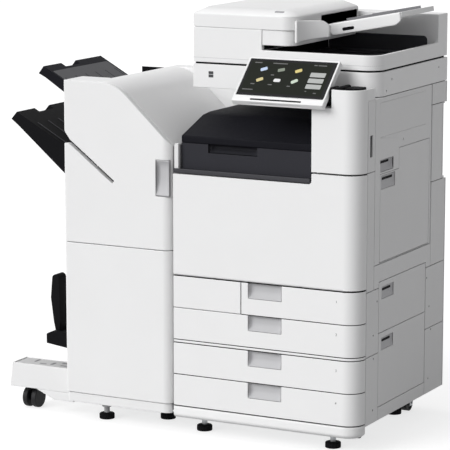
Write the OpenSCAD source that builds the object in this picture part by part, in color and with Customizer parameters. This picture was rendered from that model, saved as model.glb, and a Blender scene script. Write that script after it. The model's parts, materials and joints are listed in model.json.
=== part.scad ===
// Floor-standing colour copier with four paper drawers, a scanner with a
// document feeder, and a stapling finisher docked on its left side.
// X runs to the right, Y runs to the back, Z runs up, all in millimetres.
// The origin is on the floor, under the middle of the whole machine.

/* [Main unit] */
// Width of the main unit
body_w = 565; // [520:5:680]
// Depth of the main unit
body_d = 600; // [500:5:720]
// Radius of the rounded front right corner
corner_r = 47; // [32:1:48]
// How far the fronts reach round onto the right side
wrap_y = 51; // [49:1:60]
// Thickness of the plastic covers
cover_t = 4; // [3:0.5:6]
// Thickness of the sheet steel
steel_t = 3; // [2:0.5:4]
// Gap between neighbouring covers
seam = 2; // [1.5:0.5:3]
// Running clearance of parts that slide or seat
fit = 0.3; // [0.2:0.1:0.5]
// Height of the lower edge of the side covers
side_z = 74; // [70:1:90]
// Height of the lower edge of the front skirt
skirt_z = 46; // [40:1:60]
// Thickness of the front skirt
skirt_t = 14; // [8:1:20]

/* [Paper drawers] */
// Height of the lower edge of the lowest drawer front
drawer_z = 82; // [80:1:100]
// Height from one drawer front to the next
drawer_h = 90.5; // [75:0.5:110]
// Height of the band between the two pairs of drawers
band_h = 9; // [8:1:20]
// Thickness of a drawer front
front_t = 20; // [18:1:24]
// Width of the blank panel left of the top drawer
blank_w = 211; // [150:1:230]
// Left end of the grip pockets
grip_x = 233; // [232:1:260]
// Width of a grip pocket
grip_w = 102; // [80:1:120]
// Height of a grip pocket
grip_h = 44; // [30:1:52]
// Depth of a grip pocket
grip_depth = 15; // [10:1:16]
// Height of a cassette tub
tub_h = 52; // [40:1:60]
// Wall of a cassette tub
tub_t = 3; // [2:0.5:4]
// Gap between a cassette tub and the end of its drawer front
tub_inset = 40; // [30:1:60]

/* [Front door and output space] */
// Height of the front door on its left part
door_h = 287; // [260:1:345]
// Thickness of the front door
door_t = 14; // [12:1:16]
// Extra height of the front door under the column
door_rise = 28; // [20:1:40]
// Gap between the front door and the column above it
door_gap = 4.5; // [4:0.5:6]
// Width of the column at the right of the output space
column_w = 143; // [120:1:170]
// Width of the low step of the column
step_w = 58; // [40:1:70]
// Height of the column above the low step
step_h = 50; // [30:1:60]
// Height of the output space
space_h = 228; // [200:1:270]
// Depth of the output space
space_d = 445; // [380:5:460]
// Height of the relay unit up to its lid
relay_h = 72; // [60:1:86]
// Height of the relay lid at its front edge
lid_front_h = 20; // [15:1:25]
// Height of the relay lid at its back edge
lid_back_h = 68; // [50:1:80]
// Depth of the sloping front part of the relay lid
lid_slope_d = 127; // [100:1:150]
// Width of the grip slot of the relay unit
slot_w = 150; // [100:1:180]

/* [Scanner and feeder] */
// Distance from the front of the machine to the front of the scanner
reader_y = 112; // [100:1:134]
// Height of the scanner
reader_h = 66; // [55:1:80]
// Gap between the scanner and the feeder
lid_gap = 5; // [4:0.5:8]
// Width of the scanning glass
glass_w = 432; // [400:1:440]
// Depth of the scanning glass
glass_d = 300; // [260:1:320]
// Height of the rim round the feeder exit tray
rim_h = 41; // [34:1:46]
// Width of the rim round the feeder exit tray
rim_t = 10; // [8:1:14]
// Width of the tall left block of the feeder
block_w = 212; // [180:1:230]
// Height of the tall left block of the feeder
block_h = 97; // [85:1:110]
// Reach of the feeder pod past the left block
pod_w = 95; // [70:1:110]
// Height of the feed cover
cover_h = 56; // [46:1:66]
// Crown of the feed cover
crown_h = 15; // [8:1:18]
// Depth of the rear beam of the feeder
beam_d = 70; // [60:1:80]
// Height of the rear beam of the feeder
beam_h = 121; // [110:1:135]
// Slope of the original tray, in degrees
input_tilt = 11; // [8:1:13]
// Depth of the original tray
input_d = 226; // [200:1:240]

/* [Control panel] */
// Width of the control panel
panel_w = 272; // [250:1:290]
// Length of the control panel along its slope
panel_l = 157; // [140:1:165]
// Thickness of the control panel
panel_t = 18; // [15:1:20]
// Slope of the control panel, in degrees
panel_tilt = 43.5; // [40:0.5:50]
// Distance of the panel's lower edge in front of the machine
panel_out = 36; // [30:1:50]
// Left edge of the control panel
panel_x = 199; // [170:1:205]

/* [Right side doors] */
// Thickness of the duplex door
side_door_t = 16; // [14:1:18]
// Thickness of the hand feed flap
flap_t = 5; // [4:0.5:6]
// Height of the hand feed flap
flap_h = 300; // [250:1:310]
// Thickness of the cassette doors
hatch_t = 8; // [7:1:10]
// Height of the upper cassette door
hatch_h = 143; // [110:1:150]

/* [Finisher] */
// Gap between the finisher and the main unit
fin_gap = 5; // [5:1:12]
// Width of the finisher
fin_w = 347; // [320:1:420]
// Depth of the finisher
fin_d = 500; // [480:5:600]
// Height of the finisher
fin_h = 980; // [900:5:1060]
// Width of the sloping shoulder
slope_w = 180; // [140:1:200]
// Drop of the sloping shoulder
slope_drop = 167; // [120:1:190]
// Rounding of the shoulder
slope_r = 120; // [60:5:140]
// Thickness of the finisher front door
fin_door_t = 18; // [16:1:20]
// Height of the seam below the finisher door
fin_split_z = 520; // [460:5:560]
// Height of the finisher ledge under the output trays
fin_ledge_z = 398; // [350:1:420]
// Height of the seam above the finisher skirt
fin_skirt_top = 80; // [78:1:100]
// Height of the lower edge of the finisher skirt
fin_skirt_z = 53; // [45:1:60]
// Width of the part of the finisher in front of the output trays
fin_cap_w = 97; // [80:1:110]
// Depth of the part of the finisher in front of the output trays
fin_cap_d = 108; // [100:1:120]

/* [Output trays] */
// Depth of an output tray
tray_d = 325; // [260:1:325]
// Reach of the upper tray from the tray wall
upper_reach = 242; // [200:1:260]
// Reach of the lower tray from the tray wall
lower_reach = 337; // [300:1:400]
// Rise of the tray floors, in degrees
tray_tilt = 29; // [25:1:32]
// Travel of the lower tray
tray_travel = 120; // [80:5:120]

/* [Booklet side] */
// Reach of the booklet arm past the finisher
arm_reach = 215; // [180:1:230]
// Depth of the booklet arm
arm_d = 78; // [70:1:90]
// Height of the top of the booklet arm
arm_z = 137; // [128:1:150]
// Height of the booklet paddle
paddle_h = 164; // [120:1:170]

/* [Feet and casters] */
// Radius of the pad of a levelling foot
pad_r = 22; // [18:1:26]
// Radius of the main casters
wheel_r = 25; // [22:1:27]
// Radius of the booklet arm caster
arm_wheel_r = 30; // [26:1:30]

/* [Hidden] */

// Heights of the front, from the floor up
z_d4 = drawer_z;
z_d3 = z_d4 + drawer_h;
z_band = z_d3 + drawer_h;
z_d2 = z_band + band_h;
z_d1 = z_d2 + drawer_h;
z_door = z_d1 + drawer_h;
z_space = z_door + door_h;
z_door_top = z_space + door_rise;
z_column = z_door_top + door_gap;
z_reader = z_space + space_h;
z_reader_top = z_reader + reader_h;
z_adf = z_reader_top + lid_gap;
z_rim = z_adf + rim_h;
z_block = z_adf + block_h;
z_cover = z_block + fit;
z_top = z_cover + cover_h;
column_top = z_reader + 30;
step_top = column_top - step_h;

// Inner planes of the main unit
space_x = body_w - column_w;
wall_l = cover_t + fit;
wall_r = body_w - 52;
wall_back = body_d - cover_t - fit - steel_t;
strip_y = wrap_y + seam;
door_y = strip_y + 48;
flap_y = door_y + 35;
hatch_y = 135;
screw_r = 3;
hatch_y1 = body_d - 139;
side_y1 = body_d - 107;
rear_step_y = body_d - 24;
step_back = rear_step_y - cover_t - fit - steel_t;
side_x = body_w - cover_t - fit;
mid_seam_z = z_door - 9;
rear_step_z0 = z_door + 235;
rear_step_z1 = z_space + 166;
flap_z = z_door + 62;
hatch_z1 = z_door + 7;
hatch_z0 = hatch_z1 - hatch_h;
hatch_bottom = drawer_z + 30;

// Planes of the finisher
fin_x1 = -fin_gap;
fin_x0 = fin_x1 - fin_w;
fin_wall_x = fin_x0 + fin_cap_w;
fin_shell_y = fin_door_t + seam;
fin_back_y = fin_d - 55;
fin_base_z = fin_skirt_z + 7;
slope_angle = atan2(slope_drop, slope_w);

// Output trays stand in the gap between the finisher cap and its back
tray_y = fin_cap_d + 4;
tray_y1 = tray_y + tray_d;
tray_x = fin_wall_x - cover_t - fit;
mouth_upper_z = fin_h - 103;
mouth_lower_z = fin_h - 292;
tray_tip_x = tray_x - lower_reach;

// Middle of the whole machine, which is the origin
mid_x = (tray_tip_x + body_w) / 2;
mid_y = (body_d - panel_out) / 2;

// Control panel plane and its pivot
panel_z = z_space + 218;
pivot_y = 40;
pivot_z = z_space + 238;
pivot_r = 7;

// Pivots of the front door and of the doors on the right side
door_pivot_y = door_t / 2;
door_pivot_z = z_door + seam / 2 + door_t / 2;
toner_x = [for (i = [0:3]) wall_l + 62 + i * (wall_r - wall_l - 120) / 3];
door_hinge_x = [(toner_x[0] + toner_x[1]) / 2 - 5, (toner_x[2] + toner_x[3]) / 2 - 5];
side_pivot_x = body_w - side_door_t / 2;
side_pivot_y = side_y1 - side_door_t / 2;
hatch_x = body_w - hatch_t / 2;
hatch_pivot_y = hatch_y1 - hatch_t / 2;

toner_shelf_z = z_door + 170;

// Casters and feet
fork_inset = 90;
foot_inset = 60;
caster_y = 175;
caster_trail = 18;
round = 96;

function arc_points(cx, cy, r, a0, a1, n = 12) =
    [for (i = [0:n]) let (a = a0 + (a1 - a0) * i / n) [cx + r * cos(a), cy + r * sin(a)]];

module place() translate([-mid_x, -mid_y, 0]) children();

module block(x0, x1, y0, y1, z0, z1)
    translate([x0, y0, z0]) cube([x1 - x0, y1 - y0, z1 - z0]);

// Upright prism with rounded vertical edges
module rounded_block(x0, x1, y0, y1, z0, z1, r)
    translate([x0, y0, z0]) linear_extrude(z1 - z0) {
        translate([r, 0]) square([x1 - x0 - 2 * r, y1 - y0]);
        translate([0, r]) square([x1 - x0, y1 - y0 - 2 * r]);
        for (x = [r, x1 - x0 - r], y = [r, y1 - y0 - r])
            translate([x, y]) circle(r = r, $fn = round);
    }

// Rod along X or Y
module rod_x(x0, x1, y, z, r)
    translate([x0, y, z]) rotate([0, 90, 0]) cylinder(h = x1 - x0, r = r, $fn = round);
module rod_y(x, y0, y1, z, r)
    translate([x, y0, z]) rotate([-90, 0, 0]) cylinder(h = y1 - y0, r = r, $fn = round);

// Profile in the YZ plane carried along X, and in the XZ plane carried along Y
module along_x(x0, x1, points)
    translate([x0, 0, 0]) rotate([90, 0, 90]) linear_extrude(x1 - x0) polygon(points);
module along_y(y0, y1, points)
    translate([0, y1, 0]) rotate([90, 0, 0]) linear_extrude(y1 - y0) polygon(points);

// Front that turns round the front right corner and ends on the right side
module corner_front(x0, z0, z1, t, y0 = 0, y1 = wrap_y)
    translate([0, 0, z0]) linear_extrude(z1 - z0) {
        translate([x0, y0]) square([body_w - corner_r - x0, t]);
        translate([body_w - corner_r, y0 + corner_r]) intersection() {
            difference() {
                circle(r = corner_r, $fn = round);
                circle(r = corner_r - t, $fn = round);
            }
            translate([0, -corner_r]) square(corner_r);
        }
        translate([body_w - t, y0 + corner_r]) square([t, y1 - y0 - corner_r]);
    }

// ---- Steel frame of the main unit

module runners(z, x0) {
    block(x0, x0 + tub_inset - wall_l, strip_y, wall_back - 30, z + 5, z + 10 - fit);
    block(wall_r - 22, wall_r - fit, strip_y, wall_back - 30, z + 5, z + 10 - fit);
}

module rear_caster_bracket(x) {
    y = body_d - 40 - caster_trail;
    block(x - 18, x + 18, y - 22, y + 22, side_z - 6, side_z - fit);
    for (s = [-1, 1])
        translate([x + s * 16 - 1.5, 0, 0]) difference() {
            block(0, 3, y - 9, y + 9, wheel_r - 9, side_z - 6 - fit);
            rod_x(-1, 4, y, wheel_r, 4 + fit);
        }
}

// Hinge arm of the front door, with its pin
module door_hinge(x) {
    block(x, x + 10, strip_y, strip_y + 20, z_door - 3 + fit, door_pivot_z + 4);
    block(x, x + 10, door_pivot_y, strip_y + 1, door_pivot_z - 4, door_pivot_z + 4);
    rod_x(x, x + 10, door_pivot_y, door_pivot_z, 4);
    rod_x(x - 12, x + 22, door_pivot_y, door_pivot_z, 2.5);
}

// Bracket and pin under the duplex door
module side_door_bracket() {
    y = side_pivot_y;
    block(wall_r + steel_t + fit, side_pivot_x + 3.5, y - 5, y + 5, flap_z - 8, flap_z - 3 - fit);
    translate([side_pivot_x, y, flap_z - 8]) cylinder(h = 18, r = 3, $fn = round);
}

// Bracket and pin between the two cassette doors
module hatch_bracket() {
    y = hatch_pivot_y;
    block(wall_r + steel_t + fit, hatch_x + 2, y - 3, y + 3, hatch_z0 + fit, hatch_z0 + seam - fit);
    translate([hatch_x, y, hatch_z0 - 8]) cylinder(h = seam + 16, r = 1.5, $fn = round);
}

module main_frame() color("silver") place() {
    floor_z = side_z + steel_t;
    shelf_x = wall_l + steel_t + fit;
    right_x = wall_r + steel_t + fit;
    column_x = space_x + cover_t + fit;
    shelf_top = z_space - 8;
    top_z = z_reader - fit;
    back = wall_back - fit;
    back_high = step_back - fit;
    block(wall_l, wall_r + steel_t, skirt_t + 2 + fit, back, side_z, floor_z);
    block(right_x, side_x, strip_y, back, side_z, floor_z);
    block(wall_l, wall_l + steel_t, front_t + 10, back_high, floor_z + fit, shelf_top + steel_t);
    block(wall_r, wall_r + steel_t, strip_y + 4, back_high, floor_z + fit, top_z);
    block(side_x - 20, side_x, strip_y + 33, door_y - 3, floor_z + fit, top_z);
    block(side_x - 8, side_x, door_y - 4, door_y + 12, hatch_z1 + 6, flap_z - 10);
    block(wall_l, side_x, wall_back, wall_back + steel_t, side_z, rear_step_z0 - seam);
    block(wall_l, side_x, step_back, step_back + steel_t, rear_step_z0, top_z);
    block(column_x, column_x + steel_t, front_t + 10, back_high, shelf_top, step_top - cover_t - fit);
    block(column_x, column_x + steel_t, reader_y, back_high, step_top - cover_t - 1, top_z);
    block(shelf_x, wall_r - fit, front_t + 1 + fit, back, z_band + 2, z_band + 2 + steel_t);
    block(shelf_x, wall_r - fit, front_t + fit, back, z_door - 6, z_door - 6 + steel_t);
    block(shelf_x, wall_r - fit, strip_y, back_high, toner_shelf_z, toner_shelf_z + steel_t);
    block(shelf_x, space_x + cover_t, front_t + 10, back_high, shelf_top, shelf_top + steel_t);
    for (z = [z_d4, z_d3, z_d2])
        runners(z, shelf_x);
    block(blank_w - 20, blank_w - 12, strip_y, wall_back - 30, z_d1 + 4, z_door - 6 - fit);
    block(blank_w - 12 + fit, blank_w + 30, strip_y, wall_back - 30, z_d1 + 5, z_d1 + 10 - fit);
    block(wall_r - 22, wall_r - fit, strip_y, wall_back - 30, z_d1 + 5, z_d1 + 10 - fit);
    for (x = [fork_inset, body_w - fork_inset])
        rear_caster_bracket(x);
    for (x = door_hinge_x)
        door_hinge(x);
    side_door_bracket();
    hatch_bracket();
}

// ---- Covers of the main unit

module base_skirt() color("whitesmoke") place()
    corner_front(0, skirt_z, drawer_z - seam, skirt_t, y0 = 2, y1 = wrap_y);

// Screw hole in a cover of the right side
module screw_hole(y, z) rod_x(body_w - cover_t - 1, body_w + 1, y, z, screw_r);

module side_panels() color("gainsboro") place() {
    x0 = body_w - cover_t;
    low_y = hatch_y - seam;
    rear_y = body_d - cover_t - seam;
    low_z = z_band + 1;
    block(0, cover_t, front_t + seam, wall_back + steel_t, side_z, rear_step_z0 - seam);
    block(0, cover_t, front_t + seam, step_back + steel_t, rear_step_z0, z_space - seam);
    difference() {
        union() {
            block(x0, body_w, strip_y, low_y, side_z, low_z);
            block(x0, body_w, strip_y, low_y, low_z + seam, mid_seam_z);
            block(x0, body_w, hatch_y1 + seam, rear_y, side_z, low_z);
            block(x0, body_w, hatch_y1 + seam, rear_y, low_z + seam, mid_seam_z);
        }
        screw_hole(hatch_y - 11, z_door - 43);
        screw_hole(strip_y + 47, z_d1 - 43);
        screw_hole(strip_y + 50, z_band - 9);
        screw_hole(strip_y + 49, z_d4 + 28);
        screw_hole(hatch_y1 + 10, z_door - 39);
        screw_hole(hatch_y1 + 30, z_d1 - 35);
        screw_hole(hatch_y1 + 44, z_band - 5);
        screw_hole(hatch_y1 + 30, z_d4 + 34);
    }
    block(x0, body_w, strip_y, door_y - seam, mid_seam_z + seam, z_column - seam);
    difference() {
        block(x0, body_w, strip_y, door_y - seam, z_column, z_reader - seam);
        block(x0 - 1, body_w + 1, strip_y + 14, strip_y + 31, z_column + 40, z_column + 99);
    }
    block(x0, body_w, door_y, side_y1, hatch_z1 + seam, flap_z - 3 - seam);
    block(x0, body_w, door_y, low_y, mid_seam_z + seam, hatch_z1 + seam + 1);
    block(x0, body_w, hatch_y1 + seam, side_y1, mid_seam_z + seam, hatch_z1 + seam + 1);
    block(x0, body_w, hatch_y, hatch_y1, side_z, hatch_bottom - seam);
    block(x0, body_w, side_y1 + seam, rear_y, mid_seam_z + seam, rear_step_z0 - seam);
    block(x0, body_w, side_y1 + seam, rear_step_y - cover_t - seam, rear_step_z0, rear_step_z1);
    block(x0, body_w, side_y1 + seam, rear_y, rear_step_z1 + seam, z_reader - seam);
    hatch_pin(hatch_z1 - 8);
    hatch_pin(hatch_bottom - seam - 1);
}

// Pin at one end of the row of cassette doors
module hatch_pin(z) translate([hatch_x, hatch_pivot_y, z]) cylinder(h = seam + 9, r = 1.5, $fn = round);

module rear_cover() color("whitesmoke") place() {
    inlet_x = body_w - 120;
    difference() {
        block(0, body_w, body_d - cover_t, body_d, side_z, rear_step_z0 - seam);
        block(inlet_x - 26, inlet_x + 26, body_d - cover_t - 1, body_d + 1, z_d4 + 40, z_d4 + 76);
        for (i = [0:7])
            block(60, 180, body_d - cover_t - 1, body_d + 1, z_d1 + 12 * i, z_d1 + 5 + 12 * i);
    }
    block(0, body_w, rear_step_y - cover_t, rear_step_y, rear_step_z0, rear_step_z1);
    block(0, body_w, body_d - cover_t, body_d, rear_step_z1 + fit, z_reader - seam);
    for (z = [rear_step_z0, rear_step_z1 - cover_t])
        block(wall_l, side_x, rear_step_y + fit, body_d - cover_t - fit, z, z + cover_t);
}

module front_trim() color("whitesmoke") place() {
    block(0, blank_w - seam / 2, 0, front_t, z_d1 + seam / 2, z_door - seam / 2);
    corner_front(0, z_band + seam / 2, z_d2 - seam / 2, front_t, y0 = 1, y1 = wrap_y);
}

module column_cover() color("whitesmoke") place() {
    x1 = body_w - cover_t;
    difference() {
        union() {
            corner_front(space_x, z_column, z_reader - seam, cover_t);
            corner_front(space_x + 10, z_reader - seam, column_top, cover_t, y1 = reader_y - 15);
        }
        block(space_x - 1, space_x + step_w, -1, cover_t + 1, step_top, column_top + 1);
    }
    block(space_x, space_x + cover_t, cover_t, space_d, z_column, step_top - cover_t);
    block(space_x, space_x + step_w, cover_t, reader_y - seam, step_top - cover_t, step_top);
    block(space_x + step_w, space_x + step_w + cover_t, cover_t, reader_y - seam,
        step_top - cover_t, column_top);
    block(space_x, space_x + cover_t, reader_y - seam, space_d, step_top - cover_t, z_reader - seam);
}

module cavity_cover() color("lightgray") place() {
    block(cover_t, space_x - fit, space_d - cover_t, space_d, z_space + 12, z_reader - seam);
    block(2, 14, 6, 18, z_space + 12, z_space + 10 + relay_h);
    block(0, cover_t - fit, space_d, rear_step_y - 5, z_space + 2, z_reader - seam);
}

module cavity_tray() color([0.28, 0.28, 0.3]) place() {
    block(0, space_x - fit, 6, space_d - cover_t - fit, z_space + 2, z_space + 12 - fit);
    rounded_block(0, space_x - 4, 0, 6 - fit, z_space + 2, z_space + 14, 2);
}

// ---- Relay unit that carries sheets across to the finisher

relay_x0 = 16;
relay_x1 = space_x - 7;
relay_y0 = 20;
relay_y1 = space_d - 15;
relay_z0 = z_space + 12;
relay_z1 = relay_z0 + relay_h;
lid_pivot_y = relay_y1 - 9;
lid_pivot_z = relay_z1 + 8;

module relay_unit() color([0.2, 0.2, 0.22]) place() {
    difference() {
        block(relay_x0, relay_x1, relay_y0, relay_y1, relay_z0, relay_z1);
        block(relay_x0 + 3, relay_x1 - 3, relay_y0 + 3, relay_y1 - 3, relay_z0 + 3, relay_z1 + 1);
        block(relay_x0 + 84, relay_x0 + 84 + slot_w, relay_y0 - 1, relay_y0 + 4,
            relay_z1 - 24, relay_z1 + 1);
    }
    for (y = [relay_y0 + 90, relay_y1 - 120])
        rod_x(relay_x0 + 3 + fit, relay_x1 - 3 - fit, y, relay_z0 + 40, 9);
    for (x = [relay_x0 + 10, relay_x1 - 16]) {
        block(x, x + 6, lid_pivot_y - 5, relay_y1 - 3 - fit, relay_z1 - 20, relay_z1 - 1 - fit);
        difference() {
            union() {
                block(x, x + 6, lid_pivot_y - 4.5, lid_pivot_y + 4.5, relay_z1 - 1, lid_pivot_z);
                rod_x(x, x + 6, lid_pivot_y, lid_pivot_z, 5);
            }
            rod_x(x - 1, x + 7, lid_pivot_y, lid_pivot_z, 3 + fit);
        }
    }
}

module relay_lid() color([0.12, 0.12, 0.14]) place() {
    z0 = relay_z1 + fit;
    zf = relay_z1 + lid_front_h;
    zb = relay_z1 + lid_back_h;
    ys = relay_y0 + lid_slope_d;
    difference() {
        along_x(relay_x0, relay_x1, [[relay_y0, z0], [relay_y0, zf], [ys, zb - 4], [ys + 40, zb],
            [relay_y1, zb], [relay_y1, z0]]);
        along_x(relay_x0 + 3, relay_x1 - 3, [[relay_y0 + 3, z0 - 1], [relay_y0 + 3, zf - 3],
            [ys, zb - 7], [ys + 40, zb - 3], [relay_y1 - 3, zb - 3], [relay_y1 - 3, z0 - 1]]);
        block(relay_x0 - 1, relay_x1 + 1, relay_y1 - 22, relay_y1 + 1, z0 - 1, z0 + 3);
    }
    for (x = [relay_x0 + 1, relay_x1 - 18])
        rod_x(x, x + 17, lid_pivot_y, lid_pivot_z, 3);
}

// ---- Scanner

glass_x = 50;
glass_y = reader_y + 48;
rail_r = 4;
rail_z = z_reader + 14;

module reader_shape(x0, x1, y0, y1, z0, z1, r)
    translate([0, 0, z0]) linear_extrude(z1 - z0) {
        translate([x0, y0]) square([x1 - x0 - r, y1 - y0]);
        translate([x0, y0 + r]) square([x1 - x0, y1 - y0 - r]);
        translate([x1 - r, y0 + r]) circle(r = r, $fn = round);
    }

module reader_housing() color("gainsboro") place() {
    difference() {
        reader_shape(4, body_w, reader_y, body_d, z_reader, z_reader_top, corner_r);
        reader_shape(4 + cover_t, body_w - cover_t, reader_y + cover_t, body_d - cover_t,
            z_reader + cover_t, z_reader_top - cover_t, corner_r - cover_t);
        block(glass_x + 8, glass_x + glass_w - 8, glass_y + 8, glass_y + glass_d - 8,
            z_reader_top - cover_t - 1, z_reader_top + 1);
        block(glass_x - fit, glass_x + glass_w + fit, glass_y - fit, glass_y + glass_d + fit,
            z_reader_top - 3, z_reader_top + 1);
        screw_hole(reader_y + 60, z_reader + 13);
        screw_hole(reader_y + 95, z_reader + 42);
        screw_hole(body_d - 63, z_reader + 42);
    }
    translate([side_pivot_x, side_pivot_y, z_reader - 14]) cylinder(h = 15, r = 3, $fn = round);
}

module platen_glass() color([0.75, 0.85, 0.88, 0.6]) place()
    block(glass_x, glass_x + glass_w, glass_y, glass_y + glass_d, z_reader_top - 3 + fit, z_reader_top);

module carriage_rails() color("silver") place()
    for (y = [glass_y + 20, glass_y + glass_d - 20]) {
        rod_x(4 + cover_t + fit, body_w - cover_t - fit, y, rail_z, rail_r);
        for (x = [14, body_w - 24])
            block(x, x + 10, y - 8, y + 8, z_reader + cover_t + fit, rail_z - rail_r - fit);
    }

module scan_carriage() color([0.15, 0.15, 0.16]) place() {
    x0 = glass_x + 20;
    z0 = rail_z + rail_r + fit;
    block(x0, x0 + 36, glass_y + 4, glass_y + glass_d - 4, z0, z0 + 22);
    block(x0 + 12, x0 + 24, glass_y + 14, glass_y + glass_d - 14, z0 + 22, z0 + 28);
}

// ---- Control panel

arm_x0 = space_x + 6;
arm_x1 = space_x + step_w - 8;
knuckle_x0 = panel_x + panel_w - 44;

module on_panel() translate([panel_x, -panel_out, panel_z]) rotate([panel_tilt, 0, 0]) children();

module panel_arm() color([0.13, 0.13, 0.14]) place() {
    difference() {
        union() {
            block(knuckle_x0, knuckle_x0 + 30, pivot_y + pivot_r + 1, reader_y - 6,
                step_top + fit, step_top + 12);
            block(knuckle_x0 + 10 + fit, knuckle_x0 + 20 - fit, pivot_y - 9, pivot_y + 22,
                step_top + fit, pivot_z);
            rod_x(knuckle_x0 + 10 + fit, knuckle_x0 + 20 - fit, pivot_y, pivot_z, 9);
        }
        rod_x(knuckle_x0, knuckle_x0 + 30, pivot_y, pivot_z, 3 + fit);
    }
    block(space_x + step_w + cover_t + fit, body_w - corner_r, cover_t + fit, reader_y - seam,
        z_reader + 14, z_reader + 18);
}

module panel_shell() color("white") place() {
    on_panel() difference() {
        union() {
            translate([0, 0, -panel_t]) cube([panel_w, panel_l, panel_t - 3]);
            difference() {
                translate([0, 0, -3 - fit]) cube([panel_w, panel_l, 3 + fit]);
                translate([6, 22, -3.5]) cube([panel_w - 12, panel_l - 28, 4]);
            }
        }
        translate([54, -1, -12]) cube([152, 9, 4]);
    }
    difference() {
        union() for (x = [knuckle_x0, knuckle_x0 + 20])
            hull() {
                rod_x(x, x + 10, pivot_y, pivot_z, pivot_r);
                translate([x - panel_x, 0, 0]) on_panel()
                    translate([0, 54, -panel_t]) cube([10, 32, 1]);
            }
        rod_x(knuckle_x0 - 1, knuckle_x0 + 31, pivot_y, pivot_z, 3);
    }
    rod_x(knuckle_x0, knuckle_x0 + 30, pivot_y, pivot_z, 3);
}

module touch_screen() color([0.06, 0.06, 0.07]) place() on_panel()
    translate([6 + fit, 22 + fit, -3 + fit])
        cube([panel_w - 12 - 2 * fit, panel_l - 28 - 2 * fit, 3 - 2 * fit]);

// ---- Document feeder

adf_x0 = 5;
pod_x1 = adf_x0 + block_w + pod_w;
pod_z = z_rim + 14;
cover_edge_r = 8;
roller_x = pod_x1 - 24;
roller_z = z_block + 17;
hinge_y = body_d - 12;
adf_y1 = hinge_y + 9;
hinge_z = z_reader_top + 14;
input_x0 = pod_x1 + 12;
input_x1 = body_w - 3;
input_y0 = body_d - beam_d - 16 - input_d;
input_z0 = z_block - 10;
input_px = input_x0 + 8 * cos(input_tilt) - 7 * sin(input_tilt);
input_pz = input_z0 + 8 * sin(input_tilt) + 7 * cos(input_tilt);
adf_hinge_x = [60, body_w - 100];

module adf_base() color("whitesmoke") place() {
    by0 = body_d - beam_d;
    difference() {
        union() {
            reader_shape(adf_x0, body_w, reader_y, adf_y1, z_adf, z_rim, corner_r);
            block(adf_x0, adf_x0 + block_w, reader_y, adf_y1, z_rim, z_block);
            reader_shape(adf_x0 + block_w - 1, pod_x1, reader_y + 3, by0 - 6, pod_z, z_block, 36);
            block(adf_x0, body_w, by0, adf_y1, z_rim - 1, z_adf + beam_h);
            block(glass_x, glass_x + glass_w, glass_y, glass_y + glass_d, z_reader_top + fit, z_adf + 1);
            for (y = [reader_y + 60, input_y0 + input_d - 20])
                block(roller_x - 8, roller_x + 8, y, y + 8, z_block - 1, roller_z + 8);
            for (y = [input_y0 - 6, input_y0 + input_d + fit])
                block(pod_x1 - 1, input_px + 5, y, y + 6 - fit, input_pz - 6, input_pz + 6);
            for (y = [input_y0 - 6, input_y0 + input_d - 4])
                rod_y(input_px, y, y + 10, input_pz, 2.5);
        }
        reader_shape(adf_x0 + block_w + 8, body_w - rim_t, reader_y + rim_t, by0,
            z_adf + 8, z_rim + 1, corner_r - rim_t);
        block(adf_x0 + 6, adf_x0 + block_w - 8, reader_y + 6, adf_y1 - 40, z_adf + 8, z_block - 6);
        block(adf_x0 + block_w + 8, body_w - 6, by0 + 6, adf_y1 - 6, z_adf + 34, z_adf + beam_h - 6);
        rod_y(roller_x, reader_y + 50, input_y0 + input_d, roller_z, 4 + fit);
        for (x = adf_hinge_x)
            block(x - 1, x + 41, hinge_y - 16, body_d + 1, z_adf - 1, hinge_z + 18);
    }
    for (x = adf_hinge_x)
        difference() {
            block(x + 11, x + 29, hinge_y - 6, hinge_y + 6, hinge_z - 8, hinge_z + 18);
            rod_x(x, x + 40, hinge_y, hinge_z, 3 + fit);
        }
}

module adf_hinges() color("silver") place()
    for (x = adf_hinge_x) {
        for (s = [x + 1, x + 31])
            block(s, s + 8, hinge_y - 8, hinge_y + 8, z_reader_top, hinge_z + 7);
        rod_x(x + 1, x + 39, hinge_y, hinge_z, 3);
    }

module adf_exit_tray() color([0.1, 0.1, 0.11]) place() difference() {
    union() {
        reader_shape(adf_x0 + block_w + 9, body_w - rim_t - 1, reader_y + rim_t + 1, body_d - beam_d - 1,
            z_adf + 8 + fit, z_adf + 14, corner_r - rim_t - 1);
        for (i = [0:6])
            block(adf_x0 + block_w + 14, body_w - 30, reader_y + 60 + 48 * i, reader_y + 63 + 48 * i,
                z_adf + 13, z_adf + 17);
    }
    block(body_w - 90, body_w, body_d - beam_d - 260, body_d - beam_d - 180, z_adf + 15, z_adf + 20);
}

module feed_cover_shape(inset, z0, z1)
    reader_shape(adf_x0 + inset, pod_x1 + 6 - inset, reader_y + inset, body_d - beam_d - 2 - inset,
        z0, z1, 40 - inset);

module adf_feed_cover() color("whitesmoke") place() {
    zs = z_top - crown_h;
    y1 = body_d - beam_d - 2;
    difference() {
        union() {
            feed_cover_shape(0, z_cover, zs - 4);
            hull() {
                feed_cover_shape(0, zs - 4.1, zs - 4);
                feed_cover_shape(4, zs - 0.1, zs);
                feed_cover_shape(32, z_top - 0.1, z_top);
            }
        }
        feed_cover_shape(cover_t, z_cover - 1, zs - 8);
        block(pod_x1 - 40, pod_x1 + 20, input_y0 - 8, input_y0 + input_d + 8, z_cover - 1, z_cover + 30);
        block(adf_x0 - 1, adf_x0 + cover_edge_r, reader_y - 1, y1 + 1, z_cover - 1, z_cover + cover_edge_r);
    }
    rod_y(adf_x0 + cover_edge_r, reader_y, y1, z_cover + cover_edge_r, cover_edge_r);
}

module input_plane() translate([input_x0, 0, input_z0]) rotate([0, -input_tilt, 0]) children();

input_l = (input_x1 - input_x0) / cos(input_tilt) - 4;

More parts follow.
